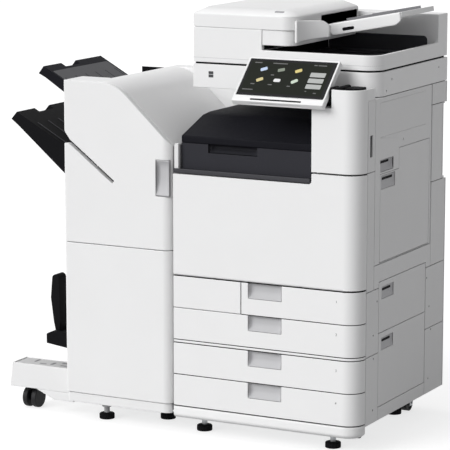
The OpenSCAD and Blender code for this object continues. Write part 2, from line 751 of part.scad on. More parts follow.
module adf_input_tray() color("gainsboro") place() {
    input_plane() difference() {
        translate([0, input_y0, 0]) cube([input_l, input_d, 14]);
        translate([14, input_y0 + 6, 5]) cube([input_l - 22, input_d - 12, 10]);
        translate([8, input_y0 - 1, 7]) rotate([-90, 0, 0])
            cylinder(h = input_d + 2, r = 2.5 + fit, $fn = round);
    }
}

module doc_guide(y, side) input_plane() {
    translate([60, y, 5 + fit]) cube([150, 36, 2.5]);
    translate([60, side > 0 ? y : y + 33, 7]) cube([150, 3, 14]);
}

guide_y0 = input_y0 + 24;
guide_y1 = input_y0 + input_d - 60;

module guide_front() color("gray") place() doc_guide(guide_y0, 1);
module guide_rear() color("gray") place() doc_guide(guide_y1, -1);

module adf_rollers() color([0.2, 0.2, 0.2]) place() {
    rod_y(roller_x, reader_y + 56, input_y0 + input_d - 8, roller_z, 4);
    for (i = [0:2])
        rod_y(roller_x, input_y0 + 20 + 70 * i, input_y0 + 50 + 70 * i, roller_z, 10);
}

// ---- Print engine behind the front door

toner_z = toner_shelf_z + steel_t;

module toner_bottles() color([0.16, 0.16, 0.17]) place()
    for (x = toner_x) {
        rod_y(x, strip_y + 2, strip_y + 330, toner_z + 30 + fit, 30);
        rod_y(x, strip_y - 8, strip_y + 2, toner_z + 30 + fit, 24);
    }

module drum_units() color([0.22, 0.22, 0.24]) place()
    for (x = toner_x) {
        block(x - 34, x + 34, strip_y + 6, strip_y + 350, z_door - 3 + fit, z_door + 60);
        rod_y(x, strip_y + 10, strip_y + 346, z_door + 76, 15);
        for (y = [strip_y + 6, strip_y + 344])
            block(x - 16, x + 16, y, y + 6, z_door + 60, z_door + 90);
    }

belt_z = z_door + 116;
belt_x0 = toner_x[0] - 10;
belt_x1 = toner_x[3] + 10;

module transfer_belt() color([0.1, 0.1, 0.1]) place() {
    difference() {
        union() {
            block(belt_x0, belt_x1, strip_y + 20, strip_y + 330, belt_z - 15, belt_z + 15);
            for (x = [belt_x0, belt_x1])
                rod_y(x, strip_y + 20, strip_y + 330, belt_z, 15);
        }
        block(belt_x0, belt_x1, strip_y + 19, strip_y + 331, belt_z - 14, belt_z + 14);
        for (x = [belt_x0, belt_x1])
            rod_y(x, strip_y + 19, strip_y + 331, belt_z, 14);
    }
    for (x = [belt_x0, belt_x1])
        rod_y(x, strip_y + 14, strip_y + 336, belt_z, 14 - fit);
    for (y = [strip_y + 8, strip_y + 336 + fit])
        block(belt_x0 - 24, belt_x1 + 24, y, y + 5.5, z_door + 91 + fit, belt_z + 26);
}

module fixing_unit() color([0.3, 0.3, 0.3]) place() {
    x = space_x + 50;
    z = z_space + 44;
    block(space_x + cover_t + steel_t + 2 * fit, wall_r - fit, 130, 430, z_space - 8 + fit, z_space - 2);
    for (y = [130, 424])
        block(x - 30, x + 30, y, y + 6, z_space - 2, z + 60);
    for (h = [z, z + 31])
        rod_y(x, 136 + fit, 424 - fit, h, 15);
}

// ---- Front door

module front_door() color("whitesmoke") place() difference() {
    union() {
        corner_front(0, door_pivot_z, z_space - seam / 2, door_t);
        corner_front(space_x + 1, z_space - seam, z_door_top, door_t);
        corner_front(body_w - corner_r - 1, door_pivot_z - 4.5, door_pivot_z + 1, door_t);
        rod_x(0, body_w - corner_r, door_pivot_y, door_pivot_z, door_t / 2);
    }
    for (x = door_hinge_x) {
        block(x - 1, x + 11, door_pivot_y - 4.5, door_t + 1, z_door - 1, door_pivot_z + 4.5);
        rod_x(x - 13, x + 23, door_pivot_y, door_pivot_z, 2.5 + fit);
    }
}

// ---- Paper drawers

module drawer_front(x0, z0) {
    z1 = z0 + drawer_h;
    difference() {
        corner_front(x0, z0 + seam / 2, z1 - seam / 2, front_t);
        block(grip_x, grip_x + grip_w, -1, grip_depth, z1 - grip_h, z1 + 1);
    }
}

module cassette(x0, z0) {
    x1 = wall_r - 8;
    y1 = wall_back - 28;
    z = z0 + 10;
    difference() {
        block(x0, x1, front_t, y1, z, z + tub_h);
        block(x0 + tub_t, x1 - tub_t, front_t + tub_t, y1 - tub_t, z + tub_t, z + tub_h + 1);
    }
    block(x0 + 14, x1 - 14, front_t + 30, y1 - 40, z + tub_t + fit, z + tub_t + 2);
    block(x0 + 20, x0 + 22, front_t + 60, y1 - 90, z + tub_t + 2 + fit, z + tub_h - 6);
}

module drawer_1() color("whitesmoke") place() drawer_front(blank_w + seam / 2, z_d1);
module drawer_2() color("whitesmoke") place() drawer_front(0, z_d2);
module drawer_3() color("whitesmoke") place() drawer_front(0, z_d3);
module drawer_4() color("whitesmoke") place() drawer_front(0, z_d4);
module cassette_1() color("dimgray") place() cassette(blank_w + 14, z_d1);
module cassette_2() color("dimgray") place() cassette(tub_inset, z_d2);
module cassette_3() color("dimgray") place() cassette(tub_inset, z_d3);
module cassette_4() color("dimgray") place() cassette(tub_inset, z_d4);

// ---- Right side doors

lever_y1 = flap_y + 126;
lever_z = flap_z + flap_h - 58;
groove_d = 1.2;
flap_pivot_x = body_w - flap_t / 2;
flap_pivot_z = flap_z + flap_t / 2;

module flap_area(grow, x0, x1) {
    y0 = flap_y - grow;
    y1 = side_y1 - 18 + grow;
    block(x0, x1, y0, y1, flap_z - grow, lever_z + grow);
    block(x0, x1, lever_y1 - grow, y1, lever_z, flap_z + flap_h + grow);
}

module right_door() color("gainsboro") place() {
    x0 = body_w - side_door_t;
    difference() {
        union() {
            block(x0, body_w, door_y, side_pivot_y, flap_z - 3, z_reader - seam);
            translate([side_pivot_x, side_pivot_y, flap_z - 3])
                cylinder(h = z_reader - seam - flap_z + 3, r = side_door_t / 2, $fn = round);
        }
        flap_area(1.5, body_w - flap_t - fit, body_w + 1);
        rod_y(flap_pivot_x, flap_y - 3, side_y1 - 12, flap_pivot_z, 1.5);
        block(body_w - 12, body_w + 1, flap_y - 2, flap_y + 88, lever_z + 6, lever_z + 40);
        block(body_w - 12, body_w + 1, flap_y + 4, flap_y + 100, lever_z - 42, lever_z - 4);
        for (z = [z_space + 118, z_reader - seam - 14])
            block(body_w - groove_d, body_w + 1, door_y + 30, side_y1 - 46, z, z + 1.6);
        rod_x(body_w - 3, body_w + 1, door_y + 188, z_space + 96, 4);
        translate([side_pivot_x, side_pivot_y, 0]) {
            translate([0, 0, flap_z - 4]) cylinder(h = 20, r = 3 + fit, $fn = round);
            translate([0, 0, z_reader - seam - 13]) cylinder(h = 20, r = 3 + fit, $fn = round);
        }
    }
}

module bypass_tray() color("gainsboro") place() difference() {
    union() {
        difference() {
            flap_area(0, body_w - flap_t, body_w);
            block(body_w - flap_t - 1, body_w + 1, flap_y - 1, side_y1, flap_z - 1, flap_pivot_z);
        }
        rod_y(flap_pivot_x, flap_y, side_y1 - 18, flap_pivot_z, flap_t / 2);
        rod_y(flap_pivot_x, flap_y - 3 + fit, side_y1 - 13, flap_pivot_z, 1.5 - fit);
    }
    block(body_w - flap_t - 1, body_w + 1, flap_y + 4, flap_y + 100, lever_z - 42, lever_z - 4);
}

module hatch(z0, z1) {
    difference() {
        union() {
            block(body_w - hatch_t, body_w, hatch_y, hatch_pivot_y, z0, z1);
            translate([hatch_x, hatch_pivot_y, z0]) cylinder(h = z1 - z0, r = hatch_t / 2, $fn = round);
        }
        block(body_w - hatch_t + 2, body_w + 1, hatch_y + 18, hatch_y + 100, z1 - 50, z1 - 15);
        for (z = [z0 - 1, z1 - 10])
            translate([hatch_x, hatch_pivot_y, z]) cylinder(h = 11, r = 1.5 + fit, $fn = round);
    }
}

module cassette_door_upper() color("gainsboro") place() hatch(hatch_z0 + seam, hatch_z1);
module cassette_door_lower() color("gainsboro") place() hatch(hatch_bottom, hatch_z0);

// ---- Feet, casters and power inlet

foot_x1 = body_w - foot_inset - 45;
foot_y = 72;
foot_y1 = body_d - 110;
foot_at = [[foot_inset, foot_y], [foot_x1, foot_y], [foot_inset, foot_y1], [foot_x1, foot_y1]];
fin_foot_at = [[fin_x0 + 100, 60], [fin_x1 - 90, 140],
    [fin_x0 + 60, fin_d - 60], [fin_x1 - 60, fin_d - 60]];

module foot(x, y, z1) translate([x, y, 0]) {
    cylinder(h = 8, r = pad_r, $fn = round);
    translate([0, 0, 8]) cylinder(h = z1 - 8, r = 6, $fn = round);
    translate([0, 0, z1 - 16]) cylinder(h = 6, r = 11, $fn = 6);
}

module levelling_feet() color([0.2, 0.2, 0.2]) place() {
    for (p = foot_at)
        foot(p[0], p[1], side_z - fit);
    for (p = fin_foot_at)
        foot(p[0], p[1], fin_base_z - fit);
}

module power_inlet() color([0.08, 0.08, 0.08]) place() {
    x = body_w - 120;
    difference() {
        block(x - 26 + fit, x + 26 - fit, wall_back + steel_t + fit, body_d - 0.5,
            z_d4 + 40 + fit, z_d4 + 76 - fit);
        block(x - 18, x + 18, body_d - 2.5, body_d, z_d4 + 47, z_d4 + 69);
    }
    for (s = [-8, 0, 8])
        block(x + s - 1, x + s + 1, body_d - 3, body_d - 1, z_d4 + 54, z_d4 + 62);
}

// Fork whose wheel trails behind its swivel stem
module fork(x, y, r, half_gap, z1, disc_r = 17) {
    difference() {
        union() {
            translate([x, y, z1 - 6]) cylinder(h = 5, r = disc_r, $fn = round);
            translate([x, y, z1 - 1]) cylinder(h = 1 - fit, r = 6, $fn = round);
            block(x - half_gap - 3, x + half_gap + 3, y - 10, y + caster_trail + 12, z1 - 9, z1 - 6);
            for (s = [-half_gap - 3, half_gap])
                block(x + s, x + s + 3, y + caster_trail - 9, y + caster_trail + 9, r - 9, z1 - 9);
        }
        rod_x(x - half_gap - 4, x + half_gap + 4, y + caster_trail, r, 4 + fit);
    }
}

module wheel(x, y, r, half_w) {
    difference() {
        rod_x(x - half_w, x + half_w, y, r, r);
        for (s = [-half_w - 1, half_w - 3])
            translate([x + s, y, r]) rotate([0, 90, 0])
                difference() {
                    cylinder(h = 4, r = r - 5, $fn = round);
                    cylinder(h = 4, r = 9, $fn = round);
                }
    }
    rod_x(x - half_w - 4, x + half_w + 4, y, r, 4);
}

module fork_front_left() color("silver") place() fork(fork_inset, caster_y, wheel_r, 12.5, side_z);
module fork_front_right() color("silver") place()
    fork(body_w - fork_inset, caster_y, wheel_r, 12.5, side_z);
module wheel_front_left() color([0.1, 0.1, 0.1]) place()
    wheel(fork_inset, caster_y + caster_trail, wheel_r, 12);
module wheel_front_right() color([0.1, 0.1, 0.1]) place()
    wheel(body_w - fork_inset, caster_y + caster_trail, wheel_r, 12);
module wheels_rear() color([0.1, 0.1, 0.1]) place()
    for (x = [fork_inset, body_w - fork_inset])
        wheel(x, body_d - 40 - caster_trail, wheel_r, 12);

// ---- Finisher

// Outline of the finisher seen from the front, from its left wall round the shoulder
function shoulder(x0, z0, inset = 0) =
    let (t = slope_r * tan(slope_angle / 2), x1 = fin_x1 - inset, top = fin_h - inset,
        xs = fin_x1 - slope_w - inset * tan(slope_angle / 2), cx = xs - t,
        zr = top - (x1 - xs) * tan(slope_angle))
    concat([[x0, z0], [x1, z0], [x1, zr]],
        arc_points(cx, top - slope_r, slope_r, 90 - slope_angle, 90),
        [[x0, top]]);

module finisher_frame() color("silver") place() {
    z1 = fin_base_z + steel_t + fit;
    x0 = fin_wall_x + 6;
    x1 = fin_x1 - 14;
    back = fin_back_y - cover_t - fit;
    shelf_z = fin_ledge_z - 20;
    wall_top = fin_h - slope_drop - 30;
    block(fin_x0 + cover_t + fit, fin_x1 - cover_t - fit, fin_door_t + fit, fin_d - cover_t - fit,
        fin_base_z, fin_base_z + steel_t);
    block(x1, x1 + steel_t, fin_shell_y + 4, back, z1, wall_top);
    block(x0, x1 - fit, back - steel_t, back, z1, wall_top);
    block(x0, fin_x1 - 30, 60, back - 10, shelf_z, shelf_z + steel_t);
    block(x0, x0 + steel_t, fin_shell_y + 4, back - steel_t - fit, z1, shelf_z - fit);
    block(x0 + 14, x0 + 104, 80, back - 30, shelf_z + steel_t + fit, fin_ledge_z + 60);
    for (z = [fin_skirt_top + 40, fin_split_z - 100])
        block(fin_x1, -fit, fin_back_y - 120, fin_back_y - 80, z, z + 40);
}

module finisher_top() color("whitesmoke") place() {
    y0 = fin_shell_y;
    difference() {
        along_y(y0, fin_back_y, shoulder(fin_wall_x, fin_split_z));
        along_y(y0 - 1, fin_back_y - cover_t, shoulder(fin_wall_x + cover_t, fin_split_z - 1, cover_t));
        block(fin_wall_x - 1, fin_wall_x + cover_t + 1, tray_y + 10, fin_back_y - 10,
            fin_split_z - 1, fin_h - 30);
    }
    block(fin_wall_x, fin_x1, fin_back_y + fit, fin_d - cover_t - fit, fin_split_z, fin_h);
}

// Plan of a finisher front, with a wide round on its right corner
front_r = 30;

module finisher_plan(x0, x1, y0, y1) {
    r = (y1 - y0) / 2 - 0.01;
    intersection() {
        translate([x0 + r, y0]) square([x1 - x0 - r, y1 - y0]);
        union() {
            translate([x0, y0]) square([x1 - front_r - x0, front_r]);
            translate([x1 - front_r, y0 + front_r]) circle(r = front_r, $fn = round);
        }
    }
    translate([x0 + r, y0 + r]) circle(r = r, $fn = round);
}

module finisher_panels() color("whitesmoke") place() {
    y0 = fin_shell_y;
    y_low = fin_door_t + fit;
    side_z0 = fin_skirt_z + 20;
    z1 = fin_split_z - seam;
    translate([0, 0, fin_skirt_top + seam]) linear_extrude(z1 - fin_skirt_top - seam)
        finisher_plan(fin_x0, fin_x1, 0, fin_door_t);
    translate([0, 0, fin_skirt_z]) linear_extrude(fin_skirt_top - fin_skirt_z)
        finisher_plan(fin_x0 + 3, fin_x1 - 3, 4, fin_door_t);
    translate([fin_pivot_x, fin_pivot_y, z1 - 1]) cylinder(h = 18, r = 3, $fn = round);
    block(fin_x0, fin_x0 + cover_t, y_low, fin_d - cover_t - fit, side_z0, fin_ledge_z);
    block(fin_x0 + cover_t + fit, fin_wall_x - cover_t - fit, y_low, fin_d - cover_t - fit,
        fin_ledge_z - cover_t, fin_ledge_z);
    block(fin_x1 - cover_t, fin_x1, y_low, fin_d - cover_t - fit, side_z0, fin_split_z - fit);
    block(fin_x0, fin_x1, fin_d - cover_t, fin_d, side_z0, fin_ledge_z);
    block(fin_wall_x - cover_t, fin_x1, fin_d - cover_t, fin_d, fin_ledge_z + seam, fin_h);
    block(fin_x0, fin_wall_x - seam, y0, fin_cap_d, fin_ledge_z + fit, fin_h - 290);
    rounded_block(fin_x0, fin_wall_x - fit, y0, fin_cap_d, fin_h - 130, fin_h, 6);
}

fin_pivot_x = fin_x0 + fin_door_t / 2;
fin_pivot_y = fin_door_t / 2;

module finisher_door() color("whitesmoke") place() difference() {
    intersection() {
        along_y(-1, fin_door_t + 1, shoulder(fin_x0, fin_split_z));
        translate([0, 0, fin_split_z]) linear_extrude(fin_h + 1 - fin_split_z)
            finisher_plan(fin_x0, fin_x1, 0, fin_door_t);
    }
    along_y(-1, fin_door_t + 1, [[fin_x0 - 1, fin_h - 179], [fin_x0 - 1, fin_h - 139],
        [fin_x0 + 21, fin_h - 168], [fin_x0 + 164, fin_h - 276], [fin_x0 + 158, fin_h - 284],
        [fin_x0 + 18, fin_h - 179]]);
    block(fin_x1 - 50, fin_x1 - 8, -1, 13, fin_h - 309, fin_h - 206);
    translate([fin_pivot_x, fin_pivot_y, fin_split_z - 1]) cylinder(h = 18, r = 3 + fit, $fn = round);
}

// ---- Output trays

module tray_wall() color([0.1, 0.1, 0.1]) place() {
    x0 = fin_wall_x - cover_t;
    difference() {
        block(x0, fin_wall_x - fit, tray_y, fin_back_y, fin_ledge_z + fit, fin_h - 4);
        for (z = [mouth_upper_z + 8, mouth_lower_z + 8])
            block(x0 - 1, fin_wall_x + 1, tray_y + 20, tray_y1 - 20, z, z + 34);
    }
    block(fin_x0 + 6, x0 - fit, fin_back_y - 3, fin_back_y, fin_h - 84, fin_h - 4);
}

// Tray made of a sloping floor between two side cheeks
module tray(z_in, reach, depth_in, depth_out, lip) {
    rise = (reach - lip) * tan(tray_tilt);
    x_out = tray_x - reach;
    outline = [[tray_x, z_in - depth_in], [tray_x, z_in], [x_out + lip, z_in + rise],
        [x_out, z_in + rise - 22], [x_out + lip + 6, z_in + rise - depth_out]];
    difference() {
        along_y(tray_y, tray_y1, outline);
        along_y(tray_y + 3, tray_y1 - 3, [[tray_x - 3, z_in - depth_in - 60], [tray_x - 3, z_in - 8],
            [x_out + lip + 8, z_in + rise - 14], [x_out + lip + 8, z_in + rise - depth_out - 60]]);
        block(x_out - 1, x_out + lip + 16, tray_y + 98, tray_y + 178,
            z_in + rise - depth_out - 5, z_in + rise + 5);
    }
}

module upper_tray() color([0.2, 0.2, 0.21]) place() tray(mouth_upper_z, upper_reach, 46, 33, 17);
module lower_tray() color([0.2, 0.2, 0.21]) place() tray(mouth_lower_z, lower_reach, 126, 41, 19);

// ---- Booklet side of the finisher

arm_y = 40;
arm_x = fin_x0 - arm_reach;
arm_h = 72;
bracket_y = 62;
paddle_x = fin_x0 - 80;
paddle_z = arm_z + 99;

module booklet_arm() color("gainsboro") place() {
    difference() {
        along_y(arm_y, arm_y + arm_d, [[fin_x0 - fit, arm_z], [arm_x + 8, arm_z],
            [arm_x, arm_z - arm_h], [fin_x0 - fit, arm_z - arm_h]]);
        along_y(arm_y + 3, arm_y + arm_d - 3, [[fin_x0 - 4, arm_z + 1], [arm_x + 12, arm_z + 1],
            [arm_x + 10, arm_z - 12], [fin_x0 - 4, arm_z - 12]]);
    }
    along_y(arm_y, arm_y + arm_d, [[arm_x + 89, arm_z - arm_h - fit], [fin_x0 - fit, arm_z - arm_h - fit],
        [fin_x0 - fit, arm_z - 98], [arm_x + 149, arm_z - 98]]);
    difference() {
        along_y(bracket_y, bracket_y + 90, [[fin_x0 - fit, paddle_z - 90], [fin_x0 - fit, paddle_z],
            [fin_x0 - 86, paddle_z], [fin_x0 - 103, paddle_z - 8], [fin_x0 - 103, paddle_z - 36],
            [fin_x0 - 30, paddle_z - 45]]);
        block(paddle_x - 16, paddle_x + 16, bracket_y + 24, bracket_y + 66, paddle_z - 16, paddle_z + 1);
        rod_y(paddle_x, bracket_y + 10, bracket_y + 80, paddle_z - 6, 3 + fit);
    }
}

module booklet_paddle() color([0.08, 0.08, 0.08]) place() {
    difference() {
        hull() {
            rod_y(paddle_x, bracket_y + 25, bracket_y + 65, paddle_z - 6, 6);
            rod_y(paddle_x - 2, bracket_y + 25, bracket_y + 65, paddle_z + 26, 11);
            rod_y(paddle_x - 8, bracket_y + 25, bracket_y + 65, paddle_z + 94, 14);
            rod_y(paddle_x - 5, bracket_y + 25, bracket_y + 65, paddle_z + paddle_h - 12, 12);
        }
        rod_y(paddle_x, bracket_y + 24, bracket_y + 66, paddle_z - 6, 3);
    }
    rod_y(paddle_x, bracket_y + 11, bracket_y + 79, paddle_z - 6, 3);
}

arm_caster_x = arm_x + 56;
arm_caster_y = arm_y + 22;

module arm_fork() color([0.1, 0.1, 0.1]) place()
    fork(arm_caster_x, arm_caster_y, arm_wheel_r, 3, arm_z - arm_h, 10);

module arm_wheels() color([0.12, 0.12, 0.12]) place() {
    rod_x(arm_caster_x - 22, arm_caster_x + 22, arm_caster_y + caster_trail, arm_wheel_r, 4);
    for (s = [-1, 1])
        rod_x(arm_caster_x + s * 14.5 - 8, arm_caster_x + s * 14.5 + 8, arm_caster_y + caster_trail,
            arm_wheel_r, arm_wheel_r);
}

main_frame();
base_skirt();
side_panels();
rear_cover();
front_trim();
column_cover();
cavity_cover();
cavity_tray();
relay_unit();
relay_lid();
reader_housing();
platen_glass();
scan_carriage();
carriage_rails();
panel_arm();
panel_shell();
touch_screen();
adf_base();
adf_exit_tray();
adf_feed_cover();
adf_input_tray();
guide_front();
guide_rear();
adf_rollers();
adf_hinges();
toner_bottles();
drum_units();
transfer_belt();
fixing_unit();
front_door();
drawer_1();
drawer_2();
drawer_3();
drawer_4();
cassette_1();
cassette_2();
cassette_3();
cassette_4();
right_door();
bypass_tray();
cassette_door_upper();
cassette_door_lower();
levelling_feet();
power_inlet();
fork_front_left();
fork_front_right();
wheel_front_left();
wheel_front_right();
wheels_rear();
finisher_frame();
finisher_top();
finisher_panels();
finisher_door();
tray_wall();
upper_tray();
lower_tray();
booklet_arm();
booklet_paddle();
arm_fork();
arm_wheels();
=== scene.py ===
import json
import math
import bmesh
import bpy
import numpy as np
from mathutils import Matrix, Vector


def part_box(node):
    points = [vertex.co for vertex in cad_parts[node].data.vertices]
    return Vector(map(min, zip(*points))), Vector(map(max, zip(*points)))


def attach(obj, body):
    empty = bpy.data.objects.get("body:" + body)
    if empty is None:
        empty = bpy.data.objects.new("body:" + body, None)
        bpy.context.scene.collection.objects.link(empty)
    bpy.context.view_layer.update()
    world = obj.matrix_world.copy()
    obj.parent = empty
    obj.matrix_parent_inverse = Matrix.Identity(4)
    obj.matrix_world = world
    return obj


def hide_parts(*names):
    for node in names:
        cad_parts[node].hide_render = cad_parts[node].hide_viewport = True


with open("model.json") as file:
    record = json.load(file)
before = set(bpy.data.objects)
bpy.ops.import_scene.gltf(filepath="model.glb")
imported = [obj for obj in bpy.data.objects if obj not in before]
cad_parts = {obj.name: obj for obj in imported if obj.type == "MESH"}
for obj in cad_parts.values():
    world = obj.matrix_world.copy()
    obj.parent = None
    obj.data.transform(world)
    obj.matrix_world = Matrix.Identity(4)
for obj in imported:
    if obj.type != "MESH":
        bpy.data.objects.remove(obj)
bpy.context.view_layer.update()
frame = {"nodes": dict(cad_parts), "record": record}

# ---- Studio: a pale paper floor that runs out of sight, one large soft lamp from
# the front left, a second one overhead, and an even pale surround. The camera
# stands far off with a long lens, at the height of a standing person's head.
shot = bpy.data.objects.new("studio_camera", bpy.data.cameras.new("studio_camera"))
bpy.context.scene.collection.objects.link(shot)
shot.location = (3.18169, -6.04957, 1.75531)
shot.rotation_euler = (math.radians(90 - 10.006), 0, math.radians(27.511))
shot.data.lens = 192.88
shot.data.sensor_width = 36
shot.data.clip_end = 60
bpy.context.scene.camera = shot
bpy.context.scene.view_settings.view_transform = "Standard"


def soft_lamp(name, towards, strength, spread):
    """A lamp far away in the direction towards, as bright on every piece, whose disc covers spread degrees.
    It turns about X by its angle from the zenith and about Z by its bearing."""
    x, y, z = np.asarray(towards, float) / np.linalg.norm(towards)
    lamp = bpy.data.lights.new(name, "SUN")
    lamp.energy = strength * math.pi
    lamp.angle = math.radians(spread)
    stand = bpy.data.objects.new(name, lamp)
    stand.rotation_euler = (math.acos(z), 0, math.atan2(y, x) + math.pi / 2)
    bpy.context.scene.collection.objects.link(stand)


soft_lamp("front_softbox", (-0.42, -0.80, 0.48), strength=0.74, spread=40)
soft_lamp("top_softbox", (-0.50, -0.05, 1.0), strength=0.22, spread=60)


def seen_rays(nodes, wire):
    """The output that is 1 for a ray from the camera, off gloss or through glass, which is the greatest
    of the three, and 0 for a ray that lights something."""
    rays = nodes.new("ShaderNodeLightPath")
    camera_or_gloss, or_glass = nodes.new("ShaderNodeMath"), nodes.new("ShaderNodeMath")
    camera_or_gloss.operation = or_glass.operation = "MAXIMUM"
    wire(rays.outputs["Is Camera Ray"], camera_or_gloss.inputs[0])
    wire(rays.outputs["Is Glossy Ray"], camera_or_gloss.inputs[1])
    wire(camera_or_gloss.outputs[0], or_glass.inputs[0])
    wire(rays.outputs["Is Transmission Ray"], or_glass.inputs[1])
    return or_glass.outputs[0]


surround = bpy.data.worlds.new("surround")
surround.use_nodes = True
bpy.context.scene.world = surround
sky, wire = surround.node_tree.nodes, surround.node_tree.links.new
sky["Background"].inputs["Color"].default_value = (0.41, 0.41, 0.415, 1)
sky_white = sky.new("ShaderNodeBackground")
sky_white.inputs["Color"].default_value = (1, 1, 1, 1)
sky_mix = sky.new("ShaderNodeMixShader")
wire(seen_rays(sky, wire), sky_mix.inputs[0])
wire(sky["Background"].outputs[0], sky_mix.inputs[1])
wire(sky_white.outputs[0], sky_mix.inputs[2])
wire(sky_mix.outputs[0], sky["World Output"].inputs["Surface"])

floor_reach = 14
floor_mesh = bpy.data.meshes.new("studio_floor")
floor_mesh.from_pydata([(floor_reach * x, floor_reach * y, 0) for x, y in ((-1, -1), (1, -1), (1, 1), (-1, 1))],
                       [], [(0, 1, 2, 3)])
floor = bpy.data.objects.new("studio_floor", floor_mesh)
bpy.context.scene.collection.objects.link(floor)
paper = bpy.data.materials.new("studio_paper")
paper.use_nodes = True
sheet, wire = paper.node_tree.nodes, paper.node_tree.links.new
sheet["Principled BSDF"].inputs["Base Color"].default_value = (0.42, 0.42, 0.42, 1)
sheet["Principled BSDF"].inputs["Roughness"].default_value = 1.0
sheet["Principled BSDF"].inputs["Specular IOR Level"].default_value = 0.0
paper_glow = sheet.new("ShaderNodeEmission")
paper_power = sheet.new("ShaderNodeMath")
paper_power.operation = "MULTIPLY"
paper_power.inputs[1].default_value = 0.70
paper_sum = sheet.new("ShaderNodeAddShader")
wire(seen_rays(sheet, wire), paper_power.inputs[0])
wire(paper_power.outputs[0], paper_glow.inputs["Strength"])
wire(sheet["Principled BSDF"].outputs[0], paper_sum.inputs[0])
wire(paper_glow.outputs[0], paper_sum.inputs[1])
wire(paper_sum.outputs[0], sheet["Material Output"].inputs["Surface"])
floor_mesh.materials.append(paper)

# ---- Steel frame of the main unit: folded zinc-plated sheet, spot welded, with
# the hinge arms, door pins and drawer runners fixed to it. It carries everything
# else, and little of it shows once the covers are on.
left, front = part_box("front_door")[0].xy


def finish_of(name, colour, rough, grain=0.0, speck=0.03, wear=0.05, metal=0.0, shine=0.5, brushed=0.0,
              size=900.0):
    """A finish: colour drifts by speck over a hand's width and goes paler by wear in small scuffs, roughness
    follows the scuffs about rough, and grain gives the height in millimetres of a fine bump with size grains
    to the metre. brushed draws the grains out along X, so many times."""
    patches, scuffs, scuff_from, scuff_full = 7.0, 90.0, 0.62, 0.78
    made = bpy.data.materials.new(name)
    made.use_nodes = True
    n, link = made.node_tree.nodes, made.node_tree.links.new
    base = n["Principled BSDF"]
    base.inputs["Metallic"].default_value = metal
    base.inputs["Specular IOR Level"].default_value = shine
    place = n.new("ShaderNodeTexCoord")
    drift = n.new("ShaderNodeTexNoise")
    drift.inputs["Scale"].default_value = patches
    drift.inputs["Detail"].default_value = 3.0
    link(place.outputs["Object"], drift.inputs["Vector"])
    scuff = n.new("ShaderNodeTexNoise")
    scuff.inputs["Scale"].default_value = scuffs
    scuff.inputs["Detail"].default_value = 5.0
    scuff.inputs["Roughness"].default_value = 0.65
    link(place.outputs["Object"], scuff.inputs["Vector"])
    grains = n.new("ShaderNodeTexNoise")
    grains.inputs["Scale"].default_value = size
    grains.inputs["Detail"].default_value = 2.0
    if brushed:
        along = n.new("ShaderNodeMapping")
        along.inputs["Scale"].default_value = (1, brushed, brushed)
        link(place.outputs["Object"], along.inputs["Vector"])
        link(along.outputs[0], grains.inputs["Vector"])
    else:
        link(place.outputs["Object"], grains.inputs["Vector"])
    tone = n.new("ShaderNodeMix")
    tone.data_type = "RGBA"
    r, g, b = colour
    tone.inputs["A"].default_value = (r * (1 - speck), g * (1 - speck), b * (1 - speck), 1)
    tone.inputs["B"].default_value = (r * (1 + speck * 0.5), g * (1 + speck * 0.5), b * (1 + speck * 0.6), 1)
    link(drift.outputs["Fac"], tone.inputs["Factor"])
    mark = n.new("ShaderNodeMapRange")
    mark.inputs["From Min"].default_value = scuff_from
    mark.inputs["From Max"].default_value = scuff_full
    mark.inputs["To Max"].default_value = wear
    link(scuff.outputs["Fac"], mark.inputs["Value"])
    worn = n.new("ShaderNodeMix")
    worn.data_type = "RGBA"
    worn.inputs["B"].default_value = (0.5 * r + 0.14, 0.5 * g + 0.14, 0.5 * b + 0.14, 1)
    link(mark.outputs[0], worn.inputs["Factor"])
    link(tone.outputs["Result"], worn.inputs["A"])
    link(worn.outputs["Result"], base.inputs["Base Color"])
    gloss = n.new("ShaderNodeMapRange")
    gloss.inputs["To Min"].default_value = max(0.03, rough - 0.07)
    gloss.inputs["To Max"].default_value = min(1.0, rough + 0.09)
    link(scuff.outputs["Fac"], gloss.inputs["Value"])
    link(gloss.outputs[0], base.inputs["Roughness"])
    if grain:
        rise = n.new("ShaderNodeBump")
        rise.inputs["Distance"].default_value = grain / 1000
        rise.inputs["Strength"].default_value = 0.6
        link(grains.outputs["Fac"], rise.inputs["Height"])
        link(rise.outputs[0], base.inputs["Normal"])
    return made


def dressed(node, *finishes):
    """Puts the finishes on a CAD node that keeps its own shape."""
    slots = frame["nodes"][node].data.materials
    slots.clear()
    for one in finishes:
        slots.append(one)


zinc_sheet = finish_of("zinc_sheet", (0.42, 0.43, 0.44), 0.38, grain=0.02, speck=0.14, wear=0.12, metal=0.85,
                       brushed=14.0, size=60.0)
bright_steel = finish_of("bright_steel", (0.58, 0.58, 0.57), 0.24, grain=0.01, speck=0.05, metal=1.0,
                         brushed=20.0, size=90.0)
dressed("main_frame", zinc_sheet)
dressed("carriage_rails", bright_steel)
dressed("adf_hinges", bright_steel)

# ---- Covers of the main unit: injection-moulded panels in a fine-textured warm
# white resin, greyer on the sides, clipped and screwed to the frame, with every
# outer edge eased. The rear cover has a vent punched in it and keeps its edges.
white_resin = finish_of("white_resin", (0.80, 0.80, 0.80), 0.52, grain=0.03, speck=0.025, shine=0.35)
side_resin = finish_of("side_resin", (0.74, 0.74, 0.74), 0.55, grain=0.035, wear=0.06, shine=0.3)


